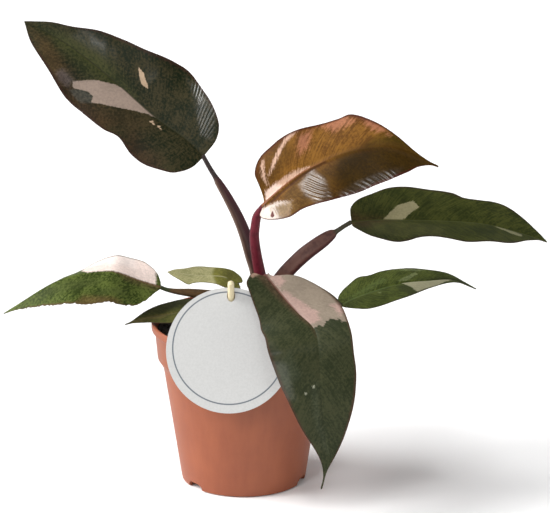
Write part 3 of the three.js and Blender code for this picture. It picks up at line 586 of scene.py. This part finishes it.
LEAVES["top_right"] = dict(
    slot="coppery_leaf", rows=320, rib=(1.6, 0.3), ridge=(2.2, 1.4), pleats=(32, 0.12), shine=0.05,
    tones=((0.09, 0.036, 0.006), (0.19, 0.085, 0.014)), edge=(0.045, 0.01, 0.005),
    midrib_tone=(0.22, 0.085, 0.045), midrib_span=(0, 0.5), below=(0.2, 0.04, 0.03),
    midrib=[(13, -10, 188), (32, -12, 206), (48, -14, 217), (71, -17, 227), (94, -22, 230), (118, -30, 223),
        (124, -32, 221)],
    across=[(0.25, -0.6, -0.8), (0.1, -0.6, -0.8), (-0.1, -0.6, -0.8)], rise=[(25, 12, 4)] * 2, curl=0.9,
    wave=(2, 45, 1),
    left=[(6, -2), (5, -8), (3, -15), (3, -22), (9, -29), (20, -30), (36, -28), (50, -26), (63, -25),
        (72, -25), (87, -17), (99, -10), (111, -4), (122, -1), (128, -0.5)],
    right=[(1, 2), (-3, 4), (-1, 9), (7, 16), (19, 22), (30, 23), (42, 26), (53, 28), (67, 28), (80, 26),
        (93, 22), (106, 13), (114, 6), (122, 1.5), (128, 0.5)],
    patches=[
        ((0.04, 0.026, 0.001), 0.95, 7, 4, [[(80, -2), (130, -1), (116, -10), (98, -14)]]),
        ((0.07, 0.03, 0.003), 0.75, 5, 3, [[(0, -8), (16, -7), (32, -15), (30, -31), (0, -30)]]),
        ((0.07, 0.036, 0.008), 0.75, 4, 5, [[(16, 5), (30, 2), (44, 2), (44, 28), (28, 28), (20, 18)]]),
        ((0.022, 0.011, 0.0003), 0.75, 7, 5, [[(44, 3), (76, 0), (104, -2), (130, -2), (130, 12), (88, 34),
            (60, 36), (44, 36), (42, 16)]]),
        ((0.022, 0.011, 0.0003), 0.93, 5, 5, [[(60, 2), (76, 0), (104, -2), (130, -2), (130, 12), (88, 34),
            (66, 36), (58, 16)]]),
        # Dark strip along the right side of the raised midrib: painted shade beneath the ridge.
        ((0.05, 0.018, 0.006), 0.8, 0.6, 0.6, [[(6, 1.8), (30, 1.3), (52, 0.6), (52, 2), (30, 3.2),
            (6, 4)]]),
        ((0.08, 0.02, 0.006), 0.55, 4, 2, [[(2, -12), (10, -27), (40, -26), (70, -22), (92, -12), (70, -32),
            (20, -36), (-2, -26)]]),
        ((0.4, 0.16, 0.1), 0.5, 2.6, 8, [[(35, -12), (38, -22), (46, -24), (42, -13)], [(50, -25),
            (66, -26), (74, -19), (60, -17)], [(76, -23), (86, -18), (94, -10), (84, -12)]]),
        ((0.55, 0.36, 0.27), 0.75, 1.2, 4.5, [[(40, -28), (26, -23), (16, -15), (12, -14), (18, -21),
            (30, -28)], [(10, -26), (9.5, -18), (9, -8), (7, -14), (7.5, -22)], [(3, -1), (40, -1),
            (30, -4), (16, -6), (6, -7)]]),
        ((0.6, 0.52, 0.465), 0.95, 1.2, 4, [[(-5, 0), (4, 3), (13, 7), (24, 14), (20, 23), (8, 19),
            (-3, 12)]]),
        ((0.7, 0.54, 0.46), 0.8, 1, 2, [[(4, -1), (18, -2), (14, -6), (5, -6)]]),
        ((0.16, 0.085, 0.025), 0.85, 2.5, 3, [[(11, 9), (26, 14), (28, 24), (18, 25), (12, 18)]]),
        ((0.2, 0.14, 0.075), 0.6, 1.5, 9, [[(7, 7), (14, 10), (24, 16), (16, 18), (10, 12)]]),
        ((0.08, 0.01, 0.01), 0.95, 0.3, 0.5, [[(5.5, 12), (8, 9.5), (9, 14.5), (7, 14.5)]])],
    sheen=[
        (1, 0.2, [[(30, 6), (42, 1), (52, 16), (54, 27), (42, 26), (34, 16)]]),
        (0.85, 0.13, [[(56, 24), (78, 20), (104, 10), (98, 22), (78, 31), (60, 33)]])])
LEAVES["right"] = dict(
    slot="dark_leaf", rows=140, rib=(1.2, 0.25),
    tones=((0.018, 0.024, 0.003), (0.05, 0.056, 0.01)), edge=(0.032, 0.022, 0.01),
    midrib_tone=(0.06, 0.066, 0.02), below=(0.08, 0.025, 0.02),
    midrib=[(70, 2, 174), (87, 6, 174), (104, 9, 173), (134, 13, 171), (158, 16, 168), (181, 19, 161),
        (198, 20, 155)],
    across=[(0.1, -0.94, -0.32)] * 3, rise=[(14, 14, 10)] * 2, wave=(0.8, 40, 0),
    left=[(0, -2), (0, -8), (1, -13), (6, -19), (15, -24), (26, -29), (37, -30), (48, -30), (60, -29),
        (70, -26), (77, -22), (87, -22), (99, -24), (107, -22), (116, -16), (125, -8), (132, -0.5)],
    right=[(0, 2), (0, 7), (4, 15), (10, 24), (17, 29), (25, 31), (34, 29), (41, 26), (50, 25), (61, 26),
        (74, 28), (92, 25), (103, 20), (115, 10), (126, 2), (132, 0.5)],
    patches=[
        ((0.06, 0.035, 0.014), 0.6, 5, 3, [[(-2, -12), (8, -4), (30, 1), (12, 12), (-2, 8)]]),
        ((0.07, 0.074, 0.02), 0.6, 3, 4, [[(12, 4), (22, 3), (42, 5), (58, 10), (58, 24), (24, 26),
            (12, 17)]]),
        ((0.28, 0.255, 0.14), 0.95, 0.35, 1.6, [[(21, 0), (26, -6), (32, -13), (43, -17), (46, -12),
            (40, -6), (34, 0)]]),
        ((0.24, 0.23, 0.13), 0.75, 0.6, 2, [[(94, 0), (114, 2), (113, 6), (106, 6), (98, 3)]])])
LEAVES["lower_right"] = dict(
    slot="mid_green_leaf", rows=110, rib=(0.9, 0.2),
    tones=((0.027, 0.038, 0.005), (0.075, 0.094, 0.018)), edge=(0.04, 0.04, 0.015),
    midrib_tone=(0.085, 0.115, 0.035), midrib_span=(0, 0.5), below=(0.08, 0.04, 0.025),
    midrib=[(64, 12, 114), (74, 16, 118), (88, 22, 121), (104, 27, 124), (121, 32, 124), (138, 37, 123),
        (154, 40, 116)],
    across=[(0.28, -0.94, -0.2)] * 3, rise=[(6, 6, 6)] * 2, wave=(0.8, 35, 1),
    left=[(0, -2), (0, -7), (4, -12), (11, -16), (19, -20), (27, -18), (36, -19), (47, -18), (58, -16),
        (75, -10), (87, -4), (97, -0.5)],
    right=[(0, 2), (2, 6), (8, 14), (15, 19), (29, 20), (43, 19), (59, 11), (70, 7), (84, 2), (91, 1),
        (97, 0.5)],
    patches=[
        ((0.028, 0.035, 0.009), 0.8, 2, 2, [[(40, 2), (46, 3), (52, 16), (46, 20), (40, 10)], [(56, -2),
            (92, -3), (92, 3), (80, 1)]]),
        ((0.33, 0.32, 0.2), 0.95, 0.35, 2, [[(44, 0), (61, 0), (79, 0), (68, 7), (60, 12), (50, 15),
            (48, 7)]]),
        ((0.17, 0.2, 0.085), 0.6, 0.8, 2, [[(44, -17), (56, -16), (68, -13), (58, -12)], [(26, 3), (29, 4),
            (27, 6)], [(42, -3), (57, -11), (58, -8), (48, -2)]]),
        ((0.08, 0.11, 0.03), 0.6, 2, 3, [[(6, -2), (34, -11), (36, -7), (20, -1)]])])
LEAVES["front"] = dict(
    slot="dark_leaf", rows=160, rib=(1.3, 0.25), crinkle=0.1, speckle=0.42, gloss=0.38,
    tones=((0.016, 0.021, 0.007), (0.038, 0.041, 0.017)), edge=(0.05, 0.026, 0.015),
    midrib_tone=(0.1, 0.04, 0.028), midrib_span=(0, 0.33), below=(0.09, 0.025, 0.025),
    midrib=[(15, -46, 153), (27, -57, 141), (36, -66, 134), (45, -77, 128), (48, -87, 117), (49, -92, 96),
        (51, -93, 74), (53, -90, 52), (52, -87, 33), (50, -85, 23)],
    across=[(-0.85, -0.3, -0.45), (-1, 0, -0.1), (-1, 0.05, 0)], rise=[(12, 5, 5)] * 2, curl=0.4,
    wave=(2, 55, 0.5),
    left=[(0, -2), (3, -4), (9, -14), (18, -21), (28, -25), (38, -25), (50, -22), (61, -22), (70, -22),
        (81, -23), (92, -22), (104, -19), (120, -13), (136, -6), (149, -1), (161, -0.5)],
    right=[(-1, 2), (-6, 6), (-4, 11), (-1, 14), (6, 16), (26, 22), (42, 29), (59, 32), (80, 27), (98, 21),
        (120, 13), (139, 4), (150, 1), (161, 0.5)],
    patches=[
        ((0.075, 0.042, 0.025), 0.6, 2.5, 0.3, [[(-4, 0), (30, 0), (56, 0), (44, 2), (20, 3.5),
            (-4, 5.5)]]),
        ((0.3, 0.19, 0.14), 0.8, 1, 1, [[(-8, 4), (-3, 2), (-3, 8), (-6, 9)]]),
        ((0.205, 0.165, 0.125), 0.96, 0.3, 2.2, [[(-4, 0), (50, 0), (49, -4), (51, -6), (48, -9), (47, -13),
            (49, -15), (48, -17), (51, -18), (53, -26), (30, -34), (-6, -20)]]),
        ((0.34, 0.22, 0.19), 0.75, 1.6, 5, [[(14, 0), (47, 0), (45, -7), (38, -10), (28, -7), (16, -4)],
            [(2, 0), (12, -2), (10, -8), (2, -6)], [(36, -20), (46, -19), (46, -25), (38, -26)]]),
        ((0.05, 0.055, 0.022), 0.9, 0.5, 1.5, [[(18, -24), (24, -23), (27, -26), (20, -28)]]),
        ((0.4, 0.4, 0.3), 0.8, 0.3, 0.8, [[(87, 3), (90, 4), (88, 6)], [(92, 8), (94, 10), (91, 10)]]),
        # Lighter grey-green strip by the midrib, and a blotch on the right half that is in part a painted
        # soft grey sheen.
        ((0.055, 0.065, 0.038), 0.4, 3, 4, [[(86, 2), (112, 2), (134, -1), (130, 2), (108, 6), (90, 6)],
            [(64, 18), (80, 12), (88, 20), (74, 30)]])],
    sheen=[
        (0.7, 0, [[(48, 36), (54, 26), (74, 19), (97, 15), (98, 27), (78, 34)]])])
LEAVES["left"] = dict(
    slot="mid_green_leaf", rows=130, rib=(1, 0.2), crinkle=0.5, nibbled=1.6, speckle=0.5, shine=0.1,
    tones=((0.022, 0.034, 0.005), (0.095, 0.122, 0.026)), edge=(0.09, 0.06, 0.025),
    midrib_tone=(0.13, 0.07, 0.035), midrib_span=(0, 0.45), below=(0.1, 0.05, 0.035),
    midrib=[(-54, 4, 129), (-68, 3, 134), (-82, 1, 140), (-91, 0, 141), (-106, -3, 140), (-124, -7, 135),
        (-148, -12, 121), (-155, -14, 117)],
    across=[(0.12, 0.94, 0.32)] * 3, rise=[(-14, -14, -14), (5, -22, -44)], curl=0.1, wave=(0.8, 30, 0),
    left=[(0, -2), (3, -7), (6, -13), (11, -19), (18, -23), (26, -25), (36, -26), (49, -26), (67, -21),
        (79, -16), (92, -9), (103, -3), (110, -0.5)],
    right=[(0, 2), (1, 6), (4, 12), (9, 18), (18, 24), (30, 25.5), (42, 25.5), (50, 24), (56, 18),
        (62, 12.5), (78, 8), (94, 5), (110, 0.5)],
    patches=[
        ((0.13, 0.075, 0.03), 0.6, 3, 3, [[(50, -19), (34, -21), (22, -21), (24, -30), (60, -30)]]),
        ((0.1, 0.06, 0.03), 0.5, 3, 2, [[(0, 0), (30, 0), (24, -4), (2, -4)]]),
        ((0.055, 0.07, 0.018), 0.6, 2.5, 4, [[(38, -8), (64, -3), (92, -3), (84, -8), (60, -12), (44, -12)],
            [(20, -12), (40, -16), (38, -19), (22, -16)]]),
        ((0.8, 0.66, 0.6), 0.97, 1.2, 2.4, [[(3.5, 0.6), (10, 0.6), (30, 0.6), (50, 0.6), (55, 8), (56, 20),
            (50, 30), (30, 30), (14, 28), (6, 18)]]),
        ((0.82, 0.72, 0.67), 0.8, 4, 2, [[(20, 12), (52, 12), (52, 30), (20, 30)]])])
LEAVES["inner_left"] = dict(
    slot="pale_leaf", rows=90, rib=(0.7, 0.15), crinkle=0.25, shine=0.1, gloss=0.45,
    tones=((0.19, 0.185, 0.08), (0.33, 0.31, 0.155)), edge=(0.15, 0.14, 0.06),
    midrib_tone=(0.33, 0.31, 0.17), midrib_span=(0.4, 1), below=(0.12, 0.09, 0.05),
    midrib=[(-4, 18, 127), (-14, 20, 131), (-29, 22, 131), (-50, 24, 133)],
    across=[(0.1, 0.98, 0.14)] * 3, rise=[(0, 0, 0)] * 2, curl=0.4, wave=(0.8, 25, 0),
    left=[(0, -2), (-2.5, -2.5), (-1, -7), (3, -11), (9, -12.5), (15, -10.5), (23, -9), (29, -11),
        (32, -13), (38, -9), (44, -4), (47, -0.5)],
    right=[(0, 2), (-2.5, 3.5), (-3, 7), (-1, 12), (4, 15), (12, 14), (23, 16), (30, 14), (37, 9), (43, 5),
        (47, 0.5)],
    patches=[
        ((0.12, 0.115, 0.018), 0.95, 1.4, 2.2, [[(-8, -20), (11, -20), (14, -10), (18, 2), (18, 12),
            (15, 24), (-8, 24)]])])
LEAVES["low_left"] = dict(
    slot="mid_green_leaf", rows=90, rib=(0.7, 0.15), shine=0.1, gloss=0.48,
    tones=((0.032, 0.038, 0.008), (0.08, 0.078, 0.018)), edge=(0.05, 0.045, 0.015),
    midrib_tone=(0.1, 0.085, 0.035), below=(0.08, 0.04, 0.03),
    midrib=[(-24, -6, 121), (-35, -5, 117), (-48, -4, 113), (-63, -5, 111), (-77, -7, 107)],
    across=[(-0.05, 0.99, 0.1)] * 3, rise=[(0, 0, 0), (-18, 7, 0)], curl=0.2, wave=(0.8, 30, 0),
    left=[(0, -2), (1, -7), (6, -12), (15, -14), (26, -13), (41, -7), (50, -2), (55, -0.5)],
    right=[(0, 2), (0, 7), (3, 13), (10, 19), (18, 19.5), (28, 15.5), (40, 9), (50, 2), (55, 0.5)],
    patches=[
        ((0.035, 0.038, 0.012), 0.8, 5, 3, [[(-4, 6), (58, 4), (58, 30), (-4, 30)]]),
        ((0.14, 0.11, 0.035), 0.6, 2.5, 3, [[(24, 1), (50, 1), (46, -4), (30, -4)]])])
COLUMNS = 26
ROW_CROWDING = 1.1
VEIN_SWEEP = 2.2
VEIN_BOW = 1.3
SIDE_VEINS = 17
MIDRIB_STEPS = 400
MARGIN_STEPS = 600
FAR_OFF = 60.0
HALF_THICKNESS = 0.24
VEIN_RELIEF = 0.02


def between(stations, share):
    """Passes through the three stations at 0, 0.5 and 1."""
    base, middle, tip = stations
    return (base * (1 - share) * (1 - 2 * share) + 4 * middle * share * (1 - share)
            + tip * share * (2 * share - 1))


def on_leaf(leaf, along, out):
    """Where flat places lie in space, in mm, and which way the upper face looks there. across points from
    the midrib to the right margin at base, middle and tip. rise is the angle at which the left and the
    right half leave the midrib there, and curl bends it back, in degrees per mm. wave is how high the
    blade waves 30 mm out, the spacing of its waves and where they start."""
    path, length = smooth_path(leaf["midrib"], MIDRIB_STEPS)
    heading = unit(np.gradient(path, axis=0))
    share = np.clip(along / length, 0, 1)
    steps = np.linspace(0, 1, MIDRIB_STEPS)
    point = np.stack([np.interp(share, steps, column) for column in path.T], -1)
    ahead = unit(np.stack([np.interp(share, steps, column) for column in heading.T], -1))
    point = point + ahead * (along - share * length)[..., None]
    across = unit(np.stack([between([v[axis] for v in leaf["across"]], share) for axis in range(3)], -1))
    up = unit(np.cross(across, ahead))
    side = np.where(out < 0, -1.0, 1.0)
    far = np.abs(out)
    left, right = leaf["rise"]
    rise = np.radians(np.where(side < 0, between(left, share), between(right, share)))
    curl = radians(leaf["curl"])
    slope = rise - curl * far
    height, spacing, start = leaf["wave"]
    wave = height * (far / 30) ** 2 * np.sin(2 * np.pi * along / spacing + start + np.where(side > 0, 0, 2))
    outward = (np.sin(rise) - np.sin(slope)) / curl
    lift = (np.cos(slope) - np.cos(rise)) / curl + wave
    point = point + across * (side * outward)[..., None] + up * lift[..., None]
    facing = up * np.cos(slope)[..., None] - across * (side * np.sin(slope))[..., None]
    return point, facing


def depth_inside(outlines, along, out):
    """How deep in mm each flat place lies inside the nearest of these outlines, and less than 0 outside.
    An outline with an edge on the midrib stops clean at it."""
    best = np.full(along.shape, -FAR_OFF)
    for outline in outlines:
        edges = list(zip(outline, outline[1:] + outline[:1]))
        half = np.sign(sum(y for x, y in outline))
        at_midrib = any(ay == by == 0 for (ax, ay), (bx, by) in edges)
        held = np.where(out == 0, 0.001 * half, out) if at_midrib else out
        near = np.full(along.shape, FAR_OFF)
        inside = np.zeros(along.shape, bool)
        for (ax, ay), (bx, by) in edges:
            if ay != by:
                inside ^= ((ay > held) != (by > held)) & (along < (bx - ax) * (held - ay) / (by - ay) + ax)
            if ay == by == 0:
                continue
            wide, high = bx - ax, by - ay
            t = np.clip(((along - ax) * wide + (out - ay) * high) / (wide ** 2 + high ** 2), 0, 1)
            near = np.minimum(near, np.hypot(along - ax - t * wide, out - ay - t * high))
        depth = np.where(inside, near, -near)
        if at_midrib:
            depth = np.where(held * half > 0, depth, -FAR_OFF)
        best = np.maximum(best, depth)
    return best


def blade_grid(leaf):
    """Flat places in rows that follow the side veins from the midrib to the margin, with each row's share
    of the way to the tip and each column's share of the way out, less than 0 on the left. The margin
    crinkles by about crinkle mm, and a nibbled left margin by more."""
    rows = leaf["rows"]
    length = smooth_path(leaf["midrib"], MIDRIB_STEPS)[1]
    share = (np.arange(rows + 1) / rows) ** ROW_CROWDING
    root = length * (0.25 * share + 0.75 * share ** VEIN_SWEEP)
    signed = np.arange(-COLUMNS, COLUMNS + 1)
    reach = (np.abs(signed) / COLUMNS) ** 1.25
    along = np.zeros((rows + 1, len(signed)))
    out = np.zeros_like(along)
    for side, key in ((-1, "left"), (1, "right")):
        margin = smooth_path(leaf[key], MARGIN_STEPS)[0]
        steps = np.linspace(0, 1, MARGIN_STEPS)
        edge = np.stack([np.interp(share, steps, column) for column in margin.T], -1)
        rough = np.array([noise.noise((u * 0.28, side, 0)) + 0.6 * noise.noise((u * 0.7, side, 5))
                          for u in edge[:, 0]])
        ripple = leaf["crinkle"] * rough * np.clip(np.abs(edge[:, 1]) / 8, 0, 1)
        if side < 0:
            ripple = ripple + leaf["nibbled"] * ripple / leaf["crinkle"]
        edge[:, 1] -= side * np.abs(ripple)
        chosen = signed * side >= 0
        bowed = reach[chosen] ** VEIN_BOW
        along[:, chosen] = root[:, None] + (edge[:, :1] - root[:, None]) * bowed
        out[:, chosen] = edge[:, 1:] * reach[chosen]
    out[:, COLUMNS] = 0
    return share[:, None], np.sign(signed) * reach, along, out


def sheet_faces(rows, columns):
    """Quads of a thin sheet's upper face, lower face and rim, on two like grids of corners."""
    count = rows * columns
    grid = np.arange(count).reshape(rows, columns)
    a, b, c, d = grid[:-1, :-1], grid[:-1, 1:], grid[1:, 1:], grid[1:, :-1]
    top = np.stack([a, b, c, d], -1).reshape(-1, 4)
    bottom = np.stack([a, d, c, b], -1).reshape(-1, 4) + count
    edge = list(grid[0, :-1]) + list(grid[:-1, -1]) + list(grid[-1, :0:-1]) + list(grid[:0:-1, 0])
    rim = [[p, p + count, q + count, q] for p, q in zip(edge, edge[1:] + edge[:1])]
    return np.vstack([top, bottom, rim]).tolist()


def blade_mesh(name, leaf):
    """rib is how far the midrib stands out below, at its foot and tip, and ridge the height and width of
    what runs over it above. A sheen has relief mm high pleats, and pleats says how many fit on the blade
    and how far they slant."""
    share, across, along, out = blade_grid(leaf)
    reach = np.abs(across)
    point, facing = on_leaf(leaf, along, out)
    far = np.abs(out)
    beat = share * SIDE_VEINS + 0.3 * np.sin(9 * share)
    relief = VEIN_RELIEF * np.cos(2 * np.pi * beat) * np.clip(far / 5, 0, 1) * (1 - reach ** 3)
    buckle = leaf["crinkle"] * reach ** 2 * np.array([[noise.noise((u * 0.09, v * 0.09, 2))
                                                       for u, v in zip(*pair)] for pair in zip(along, out)])
    thick, thin = leaf["rib"]
    rib = (thick + (thin - thick) * share) * np.exp(-(far / (1.1 + 0.6 * (1 - share))) ** 2)
    high, wide = leaf["ridge"]
    ridge = high * (1 - 0.8 * share) * np.exp(-(far / wide) ** 2)
    body = HALF_THICKNESS * (1 - 0.5 * reach ** 4)
    marks = {}
    pleats, slant = leaf["pleats"]
    pleat = np.sin(2 * np.pi * (pleats * share - slant * far + 0.25 * np.sin(0.15 * out + 0.11 * along)))
    for number, (strength, height, shapes) in enumerate(leaf["sheen"]):
        inside = depth_inside(shapes, along, out)
        marks[f"sheen_{number}"] = np.tile(inside.ravel(), 2)
        relief = relief + height * np.clip(inside / 4, 0, 1) * pleat
    upper = point + facing * (relief + buckle + ridge + body)[..., None]
    lower = point + facing * (relief + buckle - body - rib)[..., None]
    mesh = bpy.data.meshes.new("blade_" + name)
    mesh.from_pydata((np.concatenate([upper.reshape(-1, 3), lower.reshape(-1, 3)]) * MM).tolist(), [],
                     sheet_faces(*along.shape))
    corner = np.zeros(len(mesh.loops), int)
    mesh.loops.foreach_get("vertex_index", corner)
    for key, (u, v) in (("flat", (along / 100, out / 100)), ("veins", np.broadcast_arrays(share, across))):
        pairs = np.stack([np.tile(u.ravel(), 2), np.tile(v.ravel(), 2)], -1)[corner]
        mesh.uv_layers.new(name=key).data.foreach_set("uv", pairs.ravel())
    marks["under"] = np.repeat([0.0, 1.0], along.size)
    for number, (tone, cover, soft, ragged, shapes) in enumerate(leaf["patches"]):
        marks[f"patch_{number}"] = np.tile(depth_inside(shapes, along, out).ravel(), 2)
    for key, numbers in marks.items():
        mesh.attributes.new(key, "FLOAT", "POINT").data.foreach_set("value", numbers.astype(np.float32))
    soften(mesh, 80)
    return mesh


def blade_finish(name, leaf):
    """Green between two tones, with the patches over it in turn, then the margin, the midrib where its
    span says, and below a dull skin. speckle is how spotted the green is and not veined, shine how much
    the skin reflects and gloss how smooth it is, the least being the smoothest."""
    wire = new_material("blade_skin_" + name)
    seed = (3.1 * len(name), 1.7 * len(name), 0)
    flat_uv = wire.node("UVMap", {"uv_map": "flat"})
    flat = wire.stretch(flat_uv, (100, 100, 100), seed)
    veins = wire.node("UVMap", {"uv_map": "veins"})
    share, reach = veins.axis("X"), veins.axis("Y").math("ABSOLUTE")
    far = flat_uv.axis("Y").math("ABSOLUTE") * 100

    def painted(mark):
        return wire.node("Attribute", {"attribute_name": mark}).output("Fac")

    drift = wire.grain(flat, 14, 3)
    mottle = wire.grain(flat, 1.7, 4, 0.65)
    lines = wire.grain(wire.stretch(veins, (120, 2.2, 1), seed), 1.0, 3)
    threads = wire.grain(wire.stretch(veins, (330, 1.5, 1), seed), 1.0, 2)
    beat = share * SIDE_VEINS + 0.3 * (share * 9).math("SINE")
    vein = (beat * (2 * pi) + pi).math("COSINE").step(0.9, 1.0)

    dark, light = leaf["tones"]
    speckle = leaf["speckle"]
    colour = (0.3 * drift + (0.7 - speckle) * lines + speckle * mottle).step(0.42, 0.58).tint(dark, light)
    colour = (vein * 0.2).tint(colour, dark)
    blotches = (0.4 * drift + 0.6 * mottle).step(0.4, 0.62)
    for number, (tone, cover, soft, ragged, shapes) in enumerate(leaf["patches"]):
        jag = ragged * (1.3 * (lines - 0.5) + 0.9 * (mottle - 0.5) + 0.6 * (threads - 0.5))
        mask = (painted(f"patch_{number}") + jag).step(-soft, soft) * (cover - 0.35 * threads.step(0.55, 0.8))
        spread = 0.1 if max(tone) > 0.2 else 0.28
        shaded = blotches.tint(shade(tone, 1 - spread), shade(tone, 1 + spread))
        colour = mask.tint(colour, shaded)
    wax = 0.0
    for number, (strength, height, shapes) in enumerate(leaf["sheen"]):
        wax = wax + strength * (painted(f"sheen_{number}") + 5 * (mottle - 0.5)).step(-1.5, 4.0)
    colour = ((reach + 0.1 * (mottle - 0.5)).step(0.92, 0.99) * 0.9).tint(colour, leaf["edge"])
    width = 1.3 - 0.8 * share
    begins, ends = leaf["midrib_span"]
    seen = share.step(begins - 0.08, begins) * (1 - share.step(ends, ends + 0.15))
    colour = ((1 - (far / width).step(0.4, 1.0)) * seen * 0.75).tint(colour, leaf["midrib_tone"])
    under = painted("under")
    colour = under.tint(colour, mottle.step(0.3, 0.7).tint(leaf["below"], shade(leaf["below"], 0.6)))
    return finish("blade_skin_" + name, colour, leaf["gloss"] + 0.12 * mottle + 0.2 * under,
                  0.35 * lines + 0.2 * threads + 0.45 * mottle - 0.15 * vein, 0.12, (1 - under) * wax,
                  Specular_IOR_Level=leaf["shine"], Coat_Roughness=0.2)


for name, own in LEAVES.items():
    leaf = {**USUAL_BLADE, **own}
    piece = new_piece("blade_" + name, blade_mesh(name, leaf), blade_finish(name, leaf))
    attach(piece, "root")
    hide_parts("leaf_" + name)


# Tag: a round of stiff white card, die-cut with one slot near its top, leaning back on the pot's lip.
# It is left blank but for the thin grey ring printed just inside its edge.
TAG_CENTRE = Vector((-8.6, -60.7, 107.8))
TAG_LEAN = radians(16)
TAG_RADIUS = 40
TAG_SIDES = 160
SLOT_SIDE = 1.3
SLOT_HEIGHT = 34.8
SLOT_SIDES = 40
tag_up = Vector((0, sin(TAG_LEAN), cos(TAG_LEAN)))
tag_out = Vector((0, -cos(TAG_LEAN), sin(TAG_LEAN)))
round_edge = [(TAG_RADIUS * cos(turn), TAG_RADIUS * sin(turn)) for turn in turns(TAG_SIDES)]
slot_edge = [(SLOT_SIDE + 2.6 * cos(turn), SLOT_HEIGHT + 3.8 * sin(turn)) for turn in turns(SLOT_SIDES)]
card_places = round_edge + slot_edge
count = len(card_places)
corners, faces = [], []
for thickness in (0.4, -0.4):
    corners += [(TAG_CENTRE + Vector((x, 0, 0)) + tag_up * y + tag_out * thickness) * MM
                for x, y in card_places]
for a, b, c in tessellate_polygon([[Vector((x, y, 0)) for x, y in edge] for edge in (round_edge, slot_edge)]):
    (ax, ay), (bx, by), (cx, cy) = card_places[a], card_places[b], card_places[c]
    if (bx - ax) * (cy - ay) < (by - ay) * (cx - ax):
        b, c = c, b
    faces += [(a, b, c), (a + count, c + count, b + count)]
for start, size, forward in ((0, TAG_SIDES, True), (TAG_SIDES, SLOT_SIDES, False)):
    for i in range(size):
        p, q = start + i, start + (i + 1) % size
        faces.append((p, p + count, q + count, q) if forward else (q, q + count, p + count, p))
tag_mesh = bpy.data.meshes.new("round_tag")
tag_mesh.from_pydata(corners, [], faces)
layer = tag_mesh.uv_layers.new(name="face")
for loop in tag_mesh.loops:
    x, y = card_places[loop.vertex_index % count]
    layer.data[loop.index].uv = (x / TAG_RADIUS, y / TAG_RADIUS)
soften(tag_mesh)

card = new_material("tag_card")
ring_place = card.stretch(card.node("UVMap", {"uv_map": "face"}), (TAG_RADIUS, TAG_RADIUS, 1), (0, -1.5, 0))
ring_radius = card.node("VectorMath", {"operation": "LENGTH"}, {0: ring_place}).output("Value")
ring = ring_radius.step(35.2, 35.35) * (1 - ring_radius.step(36.1, 36.25))
pulp = card.grain(card.node("NewGeometry"), 0.0012, 4)
card_white = pulp.step(0.3, 0.7).tint((0.5, 0.5, 0.49), (0.54, 0.54, 0.53))
tag = new_piece("round_tag", tag_mesh, finish(
    "tag_card", (ring * 0.9).tint(card_white, (0.09, 0.11, 0.135)), 0.6 + 0.1 * pulp, pulp, 0.03))
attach(tag, "root")
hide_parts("tag")


# Tag stick: a turned pale stick with a rounded top, pushed slanting through the tag's slot into the soil.
# It is bare wood, with fine grain along it.
STICK_LEAN = radians(30)
STICK_PROFILE = [(0, -68), (1.2, -68), (2.1, -66.6), (2.1, 11.2), (1.95, 12.1), (1.5, 12.7), (0.8, 13),
                 (0, 13.05)]
stick_mesh = turned("tag_stick_wood", STICK_PROFILE, 36)
slot_middle = TAG_CENTRE + tag_up * SLOT_HEIGHT + Vector((SLOT_SIDE, 0, 0))
for corner in stick_mesh.vertices:
    x, y, z = corner.co
    corner.co = Vector((x, y * cos(STICK_LEAN) - z * sin(STICK_LEAN),
                        y * sin(STICK_LEAN) + z * cos(STICK_LEAN))) + slot_middle * MM
soften(stick_mesh, 45)
wood = new_material("stick_wood")
along_stick = wood.node("VectorRotate", {"rotation_type": "X_AXIS"},
                        {"Vector": wood.node("NewGeometry"), "Angle": -STICK_LEAN})
fibres = wood.grain(wood.stretch(along_stick, (1, 1, 0.06)), 0.0007, 4)
stick = new_piece("tag_stick_wood", stick_mesh, finish(
    "stick_wood", fibres.step(0.3, 0.7).tint((0.55, 0.46, 0.27), (0.74, 0.66, 0.44)), 0.5 + 0.15 * fibres,
    fibres, 0.08))
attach(stick, "root")
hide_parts("tag_stick")
